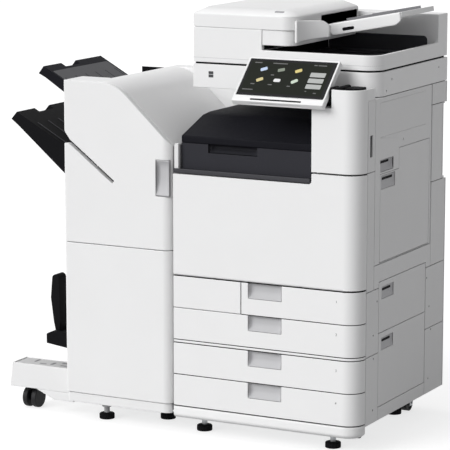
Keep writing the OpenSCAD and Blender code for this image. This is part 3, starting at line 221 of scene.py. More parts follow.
def eased(node, finish, radius, pillar=None):
    """The node's own faces with equal corners joined and flat neighbours made one face, and with every edge
    that turns by more than sharp_turn degrees rounded to radius millimetres. It stands for the node.
    pillar = (way, shortest, wide, spots) first rounds the edges along way that are longer than shortest and
    within 1.5 mm of one of the x, z spots."""
    flat_turn, sharp_turn, near = 0.6, 35.0, 1.5
    source = frame["nodes"][node].data
    corners = np.empty(len(source.vertices) * 3, np.float32)
    source.vertices.foreach_get("co", corners)
    ends = np.empty(len(source.loops), np.int32)
    source.loops.foreach_get("vertex_index", ends)
    kept, where = np.unique(np.round(corners.reshape(-1, 3), 6), axis=0, return_inverse=True)
    tris = where.reshape(-1)[ends].reshape(-1, 3)
    tris = tris[(tris[:, 0] != tris[:, 1]) & (tris[:, 1] != tris[:, 2]) & (tris[:, 0] != tris[:, 2])]
    mesh = bpy.data.meshes.new(node + "_skin")
    mesh.from_pydata(kept.tolist(), [], tris.tolist())
    work = bmesh.new()
    work.from_mesh(mesh)
    bmesh.ops.remove_doubles(work, verts=work.verts, dist=2e-6)
    bmesh.ops.dissolve_limit(work, angle_limit=math.radians(flat_turn), verts=work.verts, edges=work.edges)
    if pillar:
        way, shortest, wide, spots = pillar
        chosen = []
        for edge in work.edges:
            a, b = (np.array(v.co) * 1000 - (left * 1000, front * 1000, 0) for v in edge.verts)
            length = np.linalg.norm(b - a)
            if length > shortest and abs((b - a) @ way) > 0.999 * length and min(
                    math.hypot((a[0] + b[0]) / 2 - x, (a[2] + b[2]) / 2 - z) for x, z in spots) < near:
                chosen.append(edge)
        bmesh.ops.bevel(work, geom=chosen, offset=wide / 1000, segments=6, profile=0.5, affect="EDGES")
    for face in work.faces:
        face.smooth = True
    work.to_mesh(mesh)
    work.free()
    mesh.materials.append(finish)
    piece = bpy.data.objects.new(mesh.name, mesh)
    bpy.context.scene.collection.objects.link(piece)
    ease = piece.modifiers.new("eased_edges", "BEVEL")
    ease.width = radius / 1000
    ease.segments = 2
    ease.limit_method = "ANGLE"
    ease.angle_limit = math.radians(sharp_turn)
    ease.use_clamp_overlap = False
    ease.miter_outer = "MITER_ARC"
    level = piece.modifiers.new("even_shade", "WEIGHTED_NORMAL")
    level.keep_sharp = False
    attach(piece, next(b for b, held in frame["record"]["behaviour"]["bodies"].items() if node in held))
    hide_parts(node)
    return piece


for node in ("side_panels", "cavity_cover"):
    eased(node, side_resin, radius=0.8)
dressed("rear_cover", side_resin)
for node in ("front_trim", "column_cover"):
    eased(node, white_resin, radius=1.8)
door_corner = (423, 739)
eased("front_door", white_resin, radius=0.9, pillar=((0, 1, 0), 10, 10, [door_corner]))

# ---- Painted shade in the gaps between the fronts: black strips set a little
# behind the faces, so that each gap looks as dark as the shade in it. One more
# strip fills the gap to the finisher with the same painted shade.
gap_shade_foam = finish_of("gap_shade_foam", (0.006, 0.006, 0.006), 0.85, grain=0.08, speck=0.2, shine=0.1)
X_WAY, Y_WAY, Z_WAY = (1, 0, 0), (0, 1, 0), (0, 0, 1)
unit_w = (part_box("rear_cover")[1].x - left) * 1000
unit_r = 47


def as_mesh(name, grid, finish, wrap_v=False, close=False):
    """A mesh of quads through grid[u, v] = (x, y, z) in millimetres from the front left foot of the main
    unit: corner (u, v) joins (u + 1, v), (u + 1, v + 1) and (u, v + 1). wrap_v joins the last v to the
    first, and close fills the two end rows of u with one face each."""
    nu, nv = grid.shape[:2]
    corners = grid.reshape(-1, 3) / 1000 + (left, front, 0)
    u, v = np.meshgrid(np.arange(nu - 1), np.arange(nv if wrap_v else nv - 1), indexing="ij")
    v1 = (v + 1) % nv
    faces = np.stack([u * nv + v, (u + 1) * nv + v, (u + 1) * nv + v1, u * nv + v1], -1).reshape(-1, 4).tolist()
    if close:
        faces.append(list(range(nv)))
        faces.append(list(range((nu - 1) * nv, nu * nv))[::-1])
    mesh = bpy.data.meshes.new(name)
    mesh.from_pydata(corners.tolist(), [], faces)
    work = bmesh.new()
    work.from_mesh(mesh)
    bmesh.ops.remove_doubles(work, verts=work.verts, dist=1e-6)
    bmesh.ops.recalc_face_normals(work, faces=work.faces)
    for face in work.faces:
        face.smooth = True
    work.to_mesh(mesh)
    work.free()
    mesh.materials.append(finish)
    piece = bpy.data.objects.new(name, mesh)
    bpy.context.scene.collection.objects.link(piece)
    return piece


def settled(piece, body, slot, *nodes):
    """Shades the piece evenly, puts it on its body, and hides the CAD nodes that it stands for;
    slot, the name of its record slot, is not used."""
    piece.modifiers.new("even_shade", "WEIGHTED_NORMAL").keep_sharp = False
    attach(piece, body)
    if nodes:
        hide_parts(*nodes)


def corner_path(x0, x1, radius, depth):
    """Way round the front right corner: from x0 along X, a quarter circle of the radius, then along Y to
    depth. Gives each point's place and its outward direction."""
    a = np.linspace(-math.pi / 2, 0, 14)
    arc = np.stack([x1 - radius + radius * np.cos(a), radius + radius * np.sin(a)], 1)
    way = np.concatenate([[[x0, 0]], arc, [[x1, depth]]])
    out = np.concatenate([[[0, -1]], np.stack([np.cos(a), np.sin(a)], 1), [[1, 0]]])
    return way, out


def swept(way, out, ring):
    """The closed ring of (outward, z) pairs carried along the way: place = way + outward * out, height z."""
    flat = way[:, None, :] + out[:, None, :] * ring[None, :, :1]
    return np.concatenate([flat, np.broadcast_to(ring[None, :, 1:], (len(way), len(ring), 1))], -1)


def round_rect(width, height, radius):
    """Outline of a rectangle with round corners about its middle, anticlockwise: four quarter circles."""
    a = np.linspace(0, math.pi / 2, 5)
    turns = [(1, 1, 0), (-1, 1, 1), (-1, -1, 2), (1, -1, 3)]
    return np.concatenate([np.stack([
        sx * (width / 2 - radius) + radius * np.cos(a + q * math.pi / 2),
        sy * (height / 2 - radius) + radius * np.sin(a + q * math.pi / 2)], 1) for sx, sy, q in turns])


def pad(name, at, u_way, v_way, width, height, thick, radius, ease, finish):
    """A plate on the plane through at that u_way and v_way span. Its outline is a rectangle with round
    corners; the row at angle a of the edge is drawn in by ease (1 - cos a) and lifted by ease sin a."""
    u_way, v_way = np.asarray(u_way, float), np.asarray(v_way, float)
    w_way = np.cross(u_way, v_way)
    a = np.linspace(0, math.pi / 2, 4)
    lift = np.concatenate([[0], thick - ease + ease * np.sin(a)])
    draw = np.concatenate([[0], ease * (1 - np.cos(a))])
    rows = [round_rect(width - 2 * d, height - 2 * d, max(radius - d, 0.05)) for d in draw]
    grid = np.stack([np.asarray(at, float) + row[:, :1] * u_way + row[:, 1:] * v_way + w * w_way
                     for row, w in zip(rows, lift)])
    return as_mesh(name, grid, finish, wrap_v=True, close=True)


gap = 1.0
gap_shade_z = [1000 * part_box("drawer_%d" % n)[0].z - gap for n in (4, 3, 2, 1)]
gap_shade_z += [1000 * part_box("drawer_3")[1].z + gap, 1000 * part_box("drawer_1")[1].z + gap]
blank_w, drawer_1_shade_strip = 212.5, 3
for n, z in enumerate(gap_shade_z):
    # The strip's section as outward distances and heights: chamfered lips, and a back 5.5 mm in.
    way, out = corner_path(blank_w if n == drawer_1_shade_strip else 1.0, unit_w, unit_r, 50)
    ring = np.array([(-1.6, z - 0.85), (-1.2, z - 0.5), (-1.2, z + 0.5), (-1.6, z + 0.85), (-5.5, z + 0.85),
                     (-5.5, z - 0.85)])
    settled(as_mesh("front_gap_shade_%d" % n, swept(way, out, ring), gap_shade_foam, wrap_v=True, close=True),
            "chassis", "black_plastic")
# Both strips below are painted shade too: one in the gap beside the blank, one in the gap to the finisher.
settled(pad("blank_gap_shade", (211, 5.5, 408), X_WAY, Z_WAY, 1.6, 88, thick=4.2, radius=0.7, ease=0.6,
            finish=gap_shade_foam), "chassis", "black_plastic")
settled(pad("finisher_gap_shade", (-2.5, 40, 400), X_WAY, Z_WAY, 3.6, 660, thick=26, radius=1.2, ease=1.0,
            finish=gap_shade_foam), "chassis", "black_plastic")

# ---- Front skirt: one moulded strip under the lowest drawer, bulged outwards and
# rolled under at its lower edge, that runs round the front right corner. It
# snaps on to the base plate.
skirt_lo, skirt_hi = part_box("base_skirt")
skirt_wall, roll_share, lip_from, lip_share = 13.5, 0.42, 0.86, 0.14
way, out = corner_path(0, unit_w, unit_r, (skirt_hi.y - front) * 1000)
t = np.linspace(0, 1, 25)
skirt_z = 1000 * (skirt_lo.z + (skirt_hi.z - skirt_lo.z) * t)
# It stands full between its rolled foot, drawn in by up to 12 mm with the 2.6th power of the way down the
# lowest roll_share, and its lip, drawn in by up to 2 mm with the square of the way up the highest lip_share.
rolled = np.clip(1 - t / roll_share, 0, 1) ** 2.6
lipped = np.clip((t - lip_from) / lip_share, 0, 1) ** 2
bulge = -0.2 - 12 * rolled - 2.0 * lipped
ring = np.concatenate([np.stack([bulge, skirt_z], 1), [[-skirt_wall, skirt_z[-1]], [-skirt_wall, skirt_z[0]]]])
settled(as_mesh("front_skirt", swept(way, out, ring), white_resin, wrap_v=True, close=True),
        "chassis", "light_cover", "base_skirt")

# ---- Paper drawers: a thick moulded front clipped to a cassette of grey resin,
# with a grip pocket cut down from its top edge that a scooped liner fills, whose
# grey is painted shade in the pocket, and the drawer's number printed small at the right.
grey_resin = finish_of("grey_resin", (0.19, 0.19, 0.20), 0.5, grain=0.03, speck=0.06, wear=0.10, shine=0.35)
# In the grip pockets and grips this grey is painted shade in the recess; on the finisher's foot stems it is
# their own grey.
grey_and_pocket_shade = finish_of("grey_and_pocket_shade", (0.50, 0.50, 0.51), 0.55, grain=0.03, speck=0.06, wear=0.08, shine=0.3)
grey_ink = finish_of("grey_ink", (0.06, 0.06, 0.065), 0.6, speck=0.05, shine=0.2)


def scooped(name, x0, x1, z0, z1, deep, back, finish, axis=1, face=0.0, top_open=True):
    """A block behind a face, hollowed from the front: depth = rim + (deep - rim) side rise, where side =
    (1 - |2u - 1|^8)^(1/2) and rise = s^0.8, with s the sine of a quarter turn over the lowest 0.55 of v,
    times the same over the highest 0.25 where the top is closed. axis is the one that the face looks along,
    and x0 and x1 are places along the other."""
    rim, foot_share, head_share = 0.6, 0.55, 0.25
    u, v = np.meshgrid(np.linspace(0, 1, 33), np.linspace(0, 1, 21), indexing="ij")
    side = np.sqrt(np.clip(1 - np.abs(2 * u - 1) ** 8, 0, 1))
    rise = np.sin(np.clip(v / foot_share, 0, 1) * math.pi / 2) ** 0.8
    if not top_open:
        rise = rise * np.sin(np.clip((1 - v) / head_share, 0, 1) * math.pi / 2) ** 0.8
    depth = rim + (deep - rim) * side * rise
    across, height = x0 + (x1 - x0) * u, z0 + (z1 - z0) * v
    rows = [depth, np.full_like(depth, back)]
    if axis == 1:
        sheets = [np.stack([across, face + d, height], -1) for d in rows]
    else:
        sheets = [np.stack([face - d, across, height], -1) for d in rows]
    grid = np.concatenate([sheets[0], sheets[1][:, ::-1]], 1)
    piece = as_mesh(name, grid, finish, wrap_v=True)
    work = bmesh.new()
    work.from_mesh(piece.data)
    rims = [edge for edge in work.edges if edge.is_boundary]
    bmesh.ops.holes_fill(work, edges=rims, sides=0)
    bmesh.ops.recalc_face_normals(work, faces=work.faces)
    work.to_mesh(piece.data)
    work.free()
    return piece


def printed(name, words, x, z, tall):
    """A flat printed figure on a front face, tall millimetres high, made a mesh before it is placed: its
    own right is X, its own up is Z, and it stands ink_rise proud of the face."""
    ink_rise = 0.08
    text = bpy.data.curves.new(name, "FONT")
    text.body = words
    text.size = tall
    text.extrude = 0.02
    text.align_x = "CENTER"
    holder = bpy.data.objects.new(name + "_curve", text)
    bpy.context.scene.collection.objects.link(holder)
    bpy.context.view_layer.update()
    mesh = bpy.data.meshes.new_from_object(holder.evaluated_get(bpy.context.evaluated_depsgraph_get()))
    bpy.data.objects.remove(holder)
    flat = np.empty(len(mesh.vertices) * 3, np.float32)
    mesh.vertices.foreach_get("co", flat)
    flat = flat.reshape(-1, 3)
    stood = np.stack([flat[:, 0] + x, -ink_rise - flat[:, 2], flat[:, 1] + z], 1)
    mesh.vertices.foreach_set("co", (stood / 1000 + (left, front, 0)).astype(np.float32).ravel())
    mesh.materials.clear()
    mesh.materials.append(grey_ink)
    mesh.name = name
    piece = bpy.data.objects.new(name, mesh)
    bpy.context.scene.collection.objects.link(piece)
    return piece


pocket_x0, pocket_x1, pocket_tall, pocket_deep = 233.5, 334.5, 43.5, 13.6
figure_x, figure_down, figure_tall = 500, 30, 10.0
for number in (1, 2, 3, 4):
    body = "paper_drawer_%d" % number
    eased("drawer_%d" % number, white_resin, radius=1.8)
    eased("cassette_%d" % number, grey_resin, radius=0.8)
    top_z = 1000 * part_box("drawer_%d" % number)[1].z
    # The grey liner in each pocket is painted shade.
    settled(scooped("pocket_painted_shade_%d" % number, pocket_x0, pocket_x1, top_z - pocket_tall, top_z - 0.6,
                    deep=pocket_deep, back=pocket_deep + 1.0, finish=grey_and_pocket_shade), body, "grey_plastic")
    figure = printed("drawer_number_%d" % number, str(number), figure_x, top_z - figure_down, figure_tall)
    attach(figure, body)

# ---- Output space between the relay unit and the scanner: a charcoal floor tray
# with a thick rounded front lip, and the relay unit, a charcoal box with a sloping
# lid that lifts for clearing jams and a hollow in its front for the fingers.
charcoal = finish_of("charcoal_resin", (0.008, 0.008, 0.011), 0.60, grain=0.05, speck=0.10, shine=0.06,
                     size=700.0)
slate = finish_of("slate_resin", (0.046, 0.046, 0.052), 0.52, grain=0.04, speck=0.08, wear=0.08, shine=0.2,
                  size=700.0)
deep_black = finish_of("black_resin", (0.006, 0.006, 0.007), 0.60, grain=0.04, speck=0.10, shine=0.05,
                       size=700.0)
lip_corner = (421.7, 742)
eased("cavity_tray", slate, radius=1.5, pillar=((0, 1, 0), 4, 7, [lip_corner]))
relay_resin = finish_of("relay_resin", (0.030, 0.030, 0.036), 0.58, grain=0.05, speck=0.10, shine=0.08,
                        size=700.0)
eased("relay_unit", relay_resin, radius=1.0)
eased("relay_lid", charcoal, radius=3.0)
settled(scooped("relay_chute", 100.8, 249.2, 801, 823, deep=22, back=24, finish=relay_resin, face=23.4,
                top_open=False), "chassis", "dark_plastic")

# ---- Scanner: a light housing round a sheet of clear glass, with the scanning
# carriage on two steel rods under it, a black strip of painted shade in the gap
# below the feeder, and two small grey marks low on its left.
clear_glass = finish_of("clear_glass", (0.70, 0.78, 0.80), 0.08, speck=0.02, wear=0.02)
clear_glass.node_tree.nodes["Principled BSDF"].inputs["Transmission Weight"].default_value = 0.85
eased("reader_housing", white_resin, radius=1.6)
dressed("platen_glass", clear_glass)
dressed("scan_carriage", deep_black)
reader_y = (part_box("reader_housing")[0].y - front) * 1000
reader_side = 470
for n, z in enumerate((1010.5, 1001.5)):
    settled(pad("reader_mark_%d" % n, (60, reader_y + 0.2, z), X_WAY, Z_WAY, 15, 8, thick=0.5, radius=0.8,
                ease=0.2, finish=grey_ink), "chassis", "dark_plastic")
# The black strip round the top of the reader is painted shade in the gap below the feeder.
way, out = corner_path(10, unit_w, unit_r, reader_side)
ring = np.array([(-5.0, 1034.2), (-4.4, 1034.6), (-4.4, 1038.2), (-5.0, 1038.6), (-9.0, 1038.6),
                 (-9.0, 1034.2)])
settled(as_mesh("reader_gap_shade", swept(way + (0, reader_y), out, ring), gap_shade_foam, wrap_v=True, close=True),
        "chassis", "black_plastic")

# ---- Document feeder: a moulded base with a deep black exit tray, a rear beam, two
# paper guides, rubber feed rollers, and a crowned feed cover over them. The base
# lifts with all of it on two steel hinges, and dark plates of painted shade face its wells.
roller_rubber = finish_of("roller_rubber", (0.03, 0.03, 0.03), 0.7, grain=0.05, speck=0.1, wear=0.1, shine=0.3)
# This grey is the original tray bed's own grey and, on the feed cover, the painted shade of its dimple.
tray_grey_and_dimple_shade = finish_of("tray_grey_and_dimple_shade", (0.30, 0.30, 0.31), 0.5, grain=0.03, speck=0.05, wear=0.08, shine=0.3)
eased("adf_base", white_resin, radius=2.0)
eased("adf_exit_tray", slate, radius=0.8)
eased("guide_front", grey_resin, radius=0.6)
eased("guide_rear", grey_resin, radius=0.6)
dressed("adf_rollers", roller_rubber)
# The three dark plates below are painted shade on the walls of the feeder's wells.
well_long = 396
settled(pad("beam_shade", (375, 530, 1073), X_WAY, Z_WAY, 312, 50, thick=1.3, radius=12, ease=0.8,
            finish=slate), "feeder", "black_plastic")
settled(pad("block_shade", (217.2, 324, 1087), Y_WAY, Z_WAY, well_long, 12.6, thick=0.8, radius=1, ease=0.4,
            finish=deep_black), "feeder", "black_plastic")
settled(pad("well_shade", (225.1, 326, 1063.5), Y_WAY, Z_WAY, well_long, 31, thick=0.7, radius=1, ease=0.3,
            finish=deep_black), "feeder", "black_plastic")
way, out = corner_path(6, unit_w - 0.12, unit_r, reader_side)
ring = np.array([(-1.0, 1051.3), (0.10, 1051.5), (0.10, 1052.3), (-1.0, 1052.5)])
settled(as_mesh("base_seam", swept(way + (0, reader_y), out, ring), grey_and_pocket_shade, wrap_v=True, close=True),
        "feeder", "side_cover")
eased("adf_feed_cover", white_resin, radius=2.0)
cover_fall = (0, 0.882, 0.472)
# The grey plate on the feed cover is painted shade standing for a shallow dimple in it.
settled(pad("cover_dimple_shade", (262, 131, 1184.2), X_WAY, cover_fall, 30, 9, thick=1.2, radius=4.2, ease=0.8,
            finish=tray_grey_and_dimple_shade), "feed_cover", "side_cover")

# ---- Cheek of the feeder: a curved white wall moulded with the base, which stands
# beside the feed cover and sweeps back to the original tray's lower end. Its place
# is a parabola along X, its foot rises and its head falls away over the last fifth.
t = np.linspace(0, 1, 21)
cheek_way = np.stack([319.2 + 12 * t + 50 * t ** 2, 120 + 84 * t], 1)
turn_way = np.gradient(cheek_way, axis=0)
cheek_out = np.stack([turn_way[:, 1], -turn_way[:, 0]], 1) / np.linalg.norm(turn_way, axis=1)[:, None]
low_z, high_z = 1104 + 12 * t, 1164 - 3 * t - 16 * np.clip(t - 0.8, 0, 1) ** 2 / 0.04
cheek_edge = [(-6, 0.04), (-6, 0.96), (-4.8, 1), (-1.6, 1), (0, 0.96), (0, 0.5), (0, 0.04), (-1.6, 0),
              (-4.8, 0)]
grid = np.stack([np.concatenate([cheek_way + off * cheek_out, (low_z + (high_z - low_z) * h)[:, None]], 1)
                 for off, h in cheek_edge], 1)
settled(as_mesh("tray_cheek", grid, white_resin, wrap_v=True, close=True), "feeder", "light_cover")

# ---- Original tray: a moulded white tray that slopes up to the right and turns
# about its lower end, with a thick rounded front wall, a black latch under that
# wall, and a grey bed that the guides slide on.
eased("adf_input_tray", white_resin, radius=1.5)
tray_turn = math.radians(11)
TRAY_WAY = (math.cos(tray_turn), 0, math.sin(tray_turn))
TRAY_UP = (-math.sin(tray_turn), 0, math.cos(tray_turn))


def on_tray(u, v, w):
    """Place of a point u along the sloping tray from its lower end, v across it and w above its underside:
    the end's place plus u along the slope and w square to it."""
    u, v, w = np.broadcast_arrays(np.asarray(u, float), v, w)
    return np.stack([324 + u * math.cos(tray_turn) - w * math.sin(tray_turn), v,
                     1126 + u * math.sin(tray_turn) + w * math.cos(tray_turn)], -1)


apron_start, apron_long, apron_y, apron_half = 12, 224, 286.6, 3.2
u = np.linspace(0, 1, 41)
# The wall is 3 mm deep plus 17 mm, which come over the first 0.06 of its length and go with a square root
# over the last 0.10. Each ring is a squared-off ellipse: cosine and sine to the power 0.35, signs kept.
deep = 3 + 17 * np.clip(u / 0.06, 0, 1) * np.clip((1 - u) / 0.10, 0, 1) ** 0.5
around = np.linspace(0, 2 * math.pi, 25)[:-1]
cos_p, sin_p = np.cos(around), np.sin(around)
squared = np.sign(cos_p) * np.abs(cos_p) ** 0.35, np.sign(sin_p) * np.abs(sin_p) ** 0.35
apron = on_tray(apron_start + apron_long * u[:, None], apron_y + apron_half * squared[0][None, :],
                (7.0 - deep / 2)[:, None] + (deep / 2 + 6.0)[:, None] * squared[1][None, :])
settled(as_mesh("tray_apron", apron, white_resin, wrap_v=True, close=True), "original_tray", "side_cover")
settled(pad("tray_latch", on_tray(74, 283.8, -6.5), TRAY_WAY, TRAY_UP, 36, 9, thick=1.2, radius=4.0, ease=0.7,
            finish=deep_black), "original_tray", "black_plastic")
settled(pad("tray_bed", on_tray(126, 401, 5.1), TRAY_WAY, Y_WAY, 214, 212, thick=1.0, radius=3, ease=0.5,
            finish=tray_grey_and_dimple_shade), "original_tray", "side_cover")

# ---- Control panel: a white moulded frame tilted on a dark arm, with a black glass
# front bonded into it, a plain lit display with six small buttons and three bars
# behind the glass, and a dark slot along the frame's lower edge.
panel_glass = finish_of("panel_glass", (0.006, 0.006, 0.007), 0.32, speck=0.05, shine=0.12)
display_film = finish_of("display_film", (0.020, 0.022, 0.018), 0.55, speck=0.05, wear=0.02, shine=0.02)
dressed("panel_arm", deep_black)
eased("panel_shell", white_resin, radius=2.2)
dressed("touch_screen", panel_glass)
panel_turn = math.radians(43.5)
PANEL_UP = (0, math.cos(panel_turn), math.sin(panel_turn))


def on_panel(u, v, w):
    """Place of a point u along the panel from its left edge, v up its face and w out of it: the lower left
    corner's place plus u along X, v along the tilted face and w square to it."""
    return np.array([199 + u, -36 + v * math.cos(panel_turn) - w * math.sin(panel_turn),
                     958 + v * math.sin(panel_turn) + w * math.cos(panel_turn)])


glass_w = -0.35


def on_screen(name, u, v, width, height, finish, thick, radius=1.0):
    """A thin raised plate on the black glass with its middle at u, v."""
    piece = pad(name, on_panel(u, v, glass_w), X_WAY, PANEL_UP, width, height, thick, radius, 0.2, finish)
    settled(piece, "panel", "screen")


on_screen("display", 134, 87, 242, 112, display_film, thick=0.30)
icons = [((0.50, 0.60, 0.78), 24), ((0.22, 0.25, 0.20), 16), ((0.62, 0.52, 0.20), 24),
         ((0.60, 0.52, 0.26), 28), ((0.72, 0.72, 0.72), 0), ((0.52, 0.60, 0.50), 34)]
icon_pitch, icon_drop = 52, 37
for n, (tone, lean) in enumerate(icons):
    lit = finish_of("icon_ink_%d" % n, tone, 0.4, speck=0.1, shine=0.2)
    lean = math.radians(lean)
    along = np.cos(lean) * np.array(X_WAY) + np.sin(lean) * np.array(PANEL_UP)
    upward = -np.sin(lean) * np.array(X_WAY) + np.cos(lean) * np.array(PANEL_UP)
    spot = on_panel(58 + icon_pitch * (n % 3), 115 - icon_drop * (n // 3), glass_w)
    settled(pad("icon_%d" % n, spot, along, upward, 20, 11, thick=0.5, radius=3.0, ease=0.2, finish=lit),
            "panel", "screen")
bar_ink = finish_of("bar_ink", (0.40, 0.41, 0.40), 0.4, speck=0.05, shine=0.2)
bar_pitch = 20.5
for n in range(3):
    on_screen("display_bar_%d" % n, 223, 104 - bar_pitch * n, 45, 15.5, bar_ink, thick=0.5, radius=2.0)
hair_ink = finish_of("hair_ink", (0.13, 0.13, 0.13), 0.4, speck=0.05, shine=0.2)
lines = [(34, 137, 22), (100, 137, 44), (206, 137, 10), (226, 137, 26), (34, 42, 32), (206, 46, 5),
         (234, 41, 9), (90, 96, 10), (42, 62, 12), (94, 62, 12), (150, 60, 10)]
for n, (u, v, wide) in enumerate(lines):
    on_screen("display_line_%d" % n, u, v, wide, 3.2, hair_ink, thick=0.45, radius=1.2)
settled(pad("panel_chin_slot", on_panel(130, 8.5, -0.3), X_WAY, PANEL_UP, 152, 5.2, thick=0.7, radius=2.0,
            ease=0.3, finish=deep_black), "panel", "black_plastic")

# ---- Shroud of the panel's arm: a black moulded hood on top of the column, beside
# the panel, screwed down over the arm's foot, with a collar, a low dish, and a
# small green status light behind a clear lens.
column_z = 990
shroud_steps, shroud_x, shroud_long, shroud_y, shroud_wide, shroud_low = 13, 449, 29, 44, 54, 949
# Along X the top rises by a quarter sine; across Y the hood is flat, with its front edge eased by the two given
# drops below.
t = np.linspace(0, 1, shroud_steps)
shroud_top = 984 + 14 * np.sin(t * math.pi / 2)
spots = shroud_x + shroud_long * t
hood = np.array([(0, 0), (0, 1), (0.06, 1), (0.5, 1), (0.94, 1), (1, 1), (1, 0)], float)
depth_y = shroud_y + shroud_wide * hood[:, 0]
grid = np.stack([np.broadcast_to(spots[:, None], (shroud_steps, len(hood))),
                 np.broadcast_to(depth_y, (shroud_steps, len(hood))),
                 shroud_low + (shroud_top[:, None] - shroud_low) * hood[None, :, 1]], -1)
grid[:, 1, 2] -= 5
grid[:, 2, 2] -= 1.5
settled(pad("arm_cheek", (472.8, 32, 976), Y_WAY, Z_WAY, 56, 54, thick=6.4, radius=14, ease=1.5,
            finish=deep_black), "chassis", "dark_plastic")
settled(pad("arm_collar", (491, 50, column_z), X_WAY, Y_WAY, 15, 84, thick=13.5, radius=7, ease=5,
            finish=deep_black), "chassis", "dark_plastic")
settled(pad("column_dish", (521, 66, column_z), X_WAY, Y_WAY, 42, 56, thick=8.9, radius=8, ease=1,
            finish=deep_black), "chassis", "dark_plastic")
settled(as_mesh("arm_shroud", grid, deep_black, wrap_v=True, close=True), "chassis", "dark_plastic")
settled(pad("column_recess", (501, 51, column_z), X_WAY, Y_WAY, 30, 84, thick=2.2, radius=10, ease=1.2,
            finish=charcoal), "chassis", "dark_plastic")
status_green = finish_of("status_green", (0.50, 0.60, 0.48), 0.3, speck=0.05, wear=0.02, shine=0.4)
settled(pad("status_light", (497, 26, column_z + 2), X_WAY, Y_WAY, 12, 4, thick=0.9, radius=1.8, ease=0.4,
            finish=status_green), "chassis", "screen")

# ---- Print engine behind the front door: toner bottles, drum units, the transfer
# belt and the fixing unit, each a moulded dark unit on the frame's shelves.
belt_film = finish_of("belt_film", (0.012, 0.012, 0.012), 0.25, speck=0.1)
dressed("toner_bottles", charcoal)
dressed("drum_units", slate)
dressed("transfer_belt", belt_film)
dressed("fixing_unit", slate)

# ---- Right side: a tall jam door with a hand feed flap in it, two cassette doors
# below, each hinged at its edge and with a scooped grip whose grey is painted shade in
# the recess and whose finger slot is a black plate of painted shade, and blackened steel
# screws sunk into the side covers.
for node in ("right_door", "bypass_tray", "cassette_door_upper", "cassette_door_lower"):
    eased(node, side_resin, radius=0.8)
grips = [("duplex_grip", "duplex_door", 135, 223, 763.5, 796.5, 10.5),
         ("flap_grip", "hand_feed_flap", 141, 235, 715.5, 752.5, 4.0),
         ("upper_jam_grip", "upper_jam_door", 154, 234, 410.5, 444.5, 5.0),
         ("lower_jam_grip", "lower_jam_door", 154, 234, 267.5, 301.5, 5.0)]
slot_margin, slot_down = 26, 9
# The grey of each grip and the black of its slot plate are painted shade in the recess.
for name, body, y0, y1, z0, z1, deep in grips:
    settled(scooped(name, y0, y1, z0, z1, deep=deep, back=deep + 0.8, finish=grey_and_pocket_shade, axis=0,
                    face=unit_w - 0.3, top_open=False), body, "grey_plastic")
    settled(pad(name + "_slot", (unit_w - deep - 0.2, (y0 + y1) / 2, z1 - slot_down), Y_WAY, Z_WAY,
                y1 - y0 - slot_margin, 7, thick=1.4, radius=2.5, ease=0.5, finish=deep_black),
            body, "black_plastic")
screws = [(124, 410), (100, 319.5), (103, 254), (102, 110), (473, 414), (493, 327.5), (507, 258), (493, 116)]
screw_wide, screw_sunk = 7.2, 3.0
for n, (y, z) in enumerate(screws):
    settled(pad("side_screw_%d" % n, (unit_w - screw_sunk, y, z), Y_WAY, Z_WAY, screw_wide, screw_wide,
                thick=1.8, radius=3.5, ease=0.6, finish=slate), "chassis", "steel_rod")

# ---- Feet, casters and inlet: eight levelling pads with ribbed rims on threaded
# rods, two swivelling casters and a fixed pair with rubber tyres, and the black
# power inlet low on the back.
wheel_rubber = finish_of("wheel_rubber", (0.014, 0.014, 0.015), 0.55, grain=0.05, speck=0.1, wear=0.2,
                         shine=0.2)
for node in ("wheel_front_left", "wheel_front_right", "wheels_rear"):
    dressed(node, wheel_rubber)
dressed("power_inlet", deep_black)
dressed("fork_front_left", zinc_sheet)
dressed("fork_front_right", zinc_sheet)


def lathed(name, x, y, outline, finish, knurls=0, bite=0.0):
    """A body of revolution about the upright through x, y: radius and height follow the outline, and the
    radius of its middle rows is cut by bite (1 + cos(knurls a)) / 2 at the angle a."""
    a = np.linspace(0, 2 * math.pi, max(48, knurls * 6) + 1)[:-1]
    rows = np.asarray(outline, float)
    inner = np.zeros(len(rows))
    inner[2:-2] = 1
    r = rows[:, :1] - inner[:, None] * bite * (1 + np.cos(knurls * a))[None, :] / 2
    grid = np.stack([x + r * np.cos(a), y + r * np.sin(a), np.broadcast_to(rows[:, 1:], r.shape)], -1)
    return as_mesh(name, grid, finish, wrap_v=True, close=True)


unit_feet = [(60, 72), (460, 72), (60, 490), (460, 490)]
finisher_feet = [(-252, 60), (-95, 140), (-292, 440), (-65, 440)]
pad_rows = [(18, 0), (21.5, 1), (22, 2), (22, 14), (21, 16), (15, 17), (6, 17.5)]
for n, (x, y) in enumerate(unit_feet + finisher_feet):
    top, rod_finish = (73.7, zinc_sheet) if x > 0 else (59.7, grey_and_pocket_shade)
    stem_rows = [(4, 17.6), (8, 18), (8, top - 25), (14, top - 24), (14.5, top - 10), (6, top - 9), (6, top)]
    settled(lathed("foot_pad_%d" % n, x, y, pad_rows, deep_black, knurls=18, bite=1.6), "chassis", "rubber")
    settled(lathed("foot_stem_%d" % n, x, y, stem_rows, rod_finish), "chassis", "steel_rod",
            *(["levelling_feet"] if n == 0 else []))

# ---- Finisher: a cabinet of moulded white covers clipped to a steel frame, with a
# rounded shoulder, a stapler door on its front, a black wall where the sheets
# leave, and two sloping trays that lift on racks.
dressed("finisher_frame", zinc_sheet)
eased("finisher_top", white_resin, radius=1.6)
eased("finisher_panels", white_resin, radius=1.6)
eased("finisher_door", white_resin, radius=1.8)
eased("tray_wall", deep_black, radius=0.8)
eased("upper_tray", charcoal, radius=1.2)
eased("lower_tray", deep_black, radius=1.2)

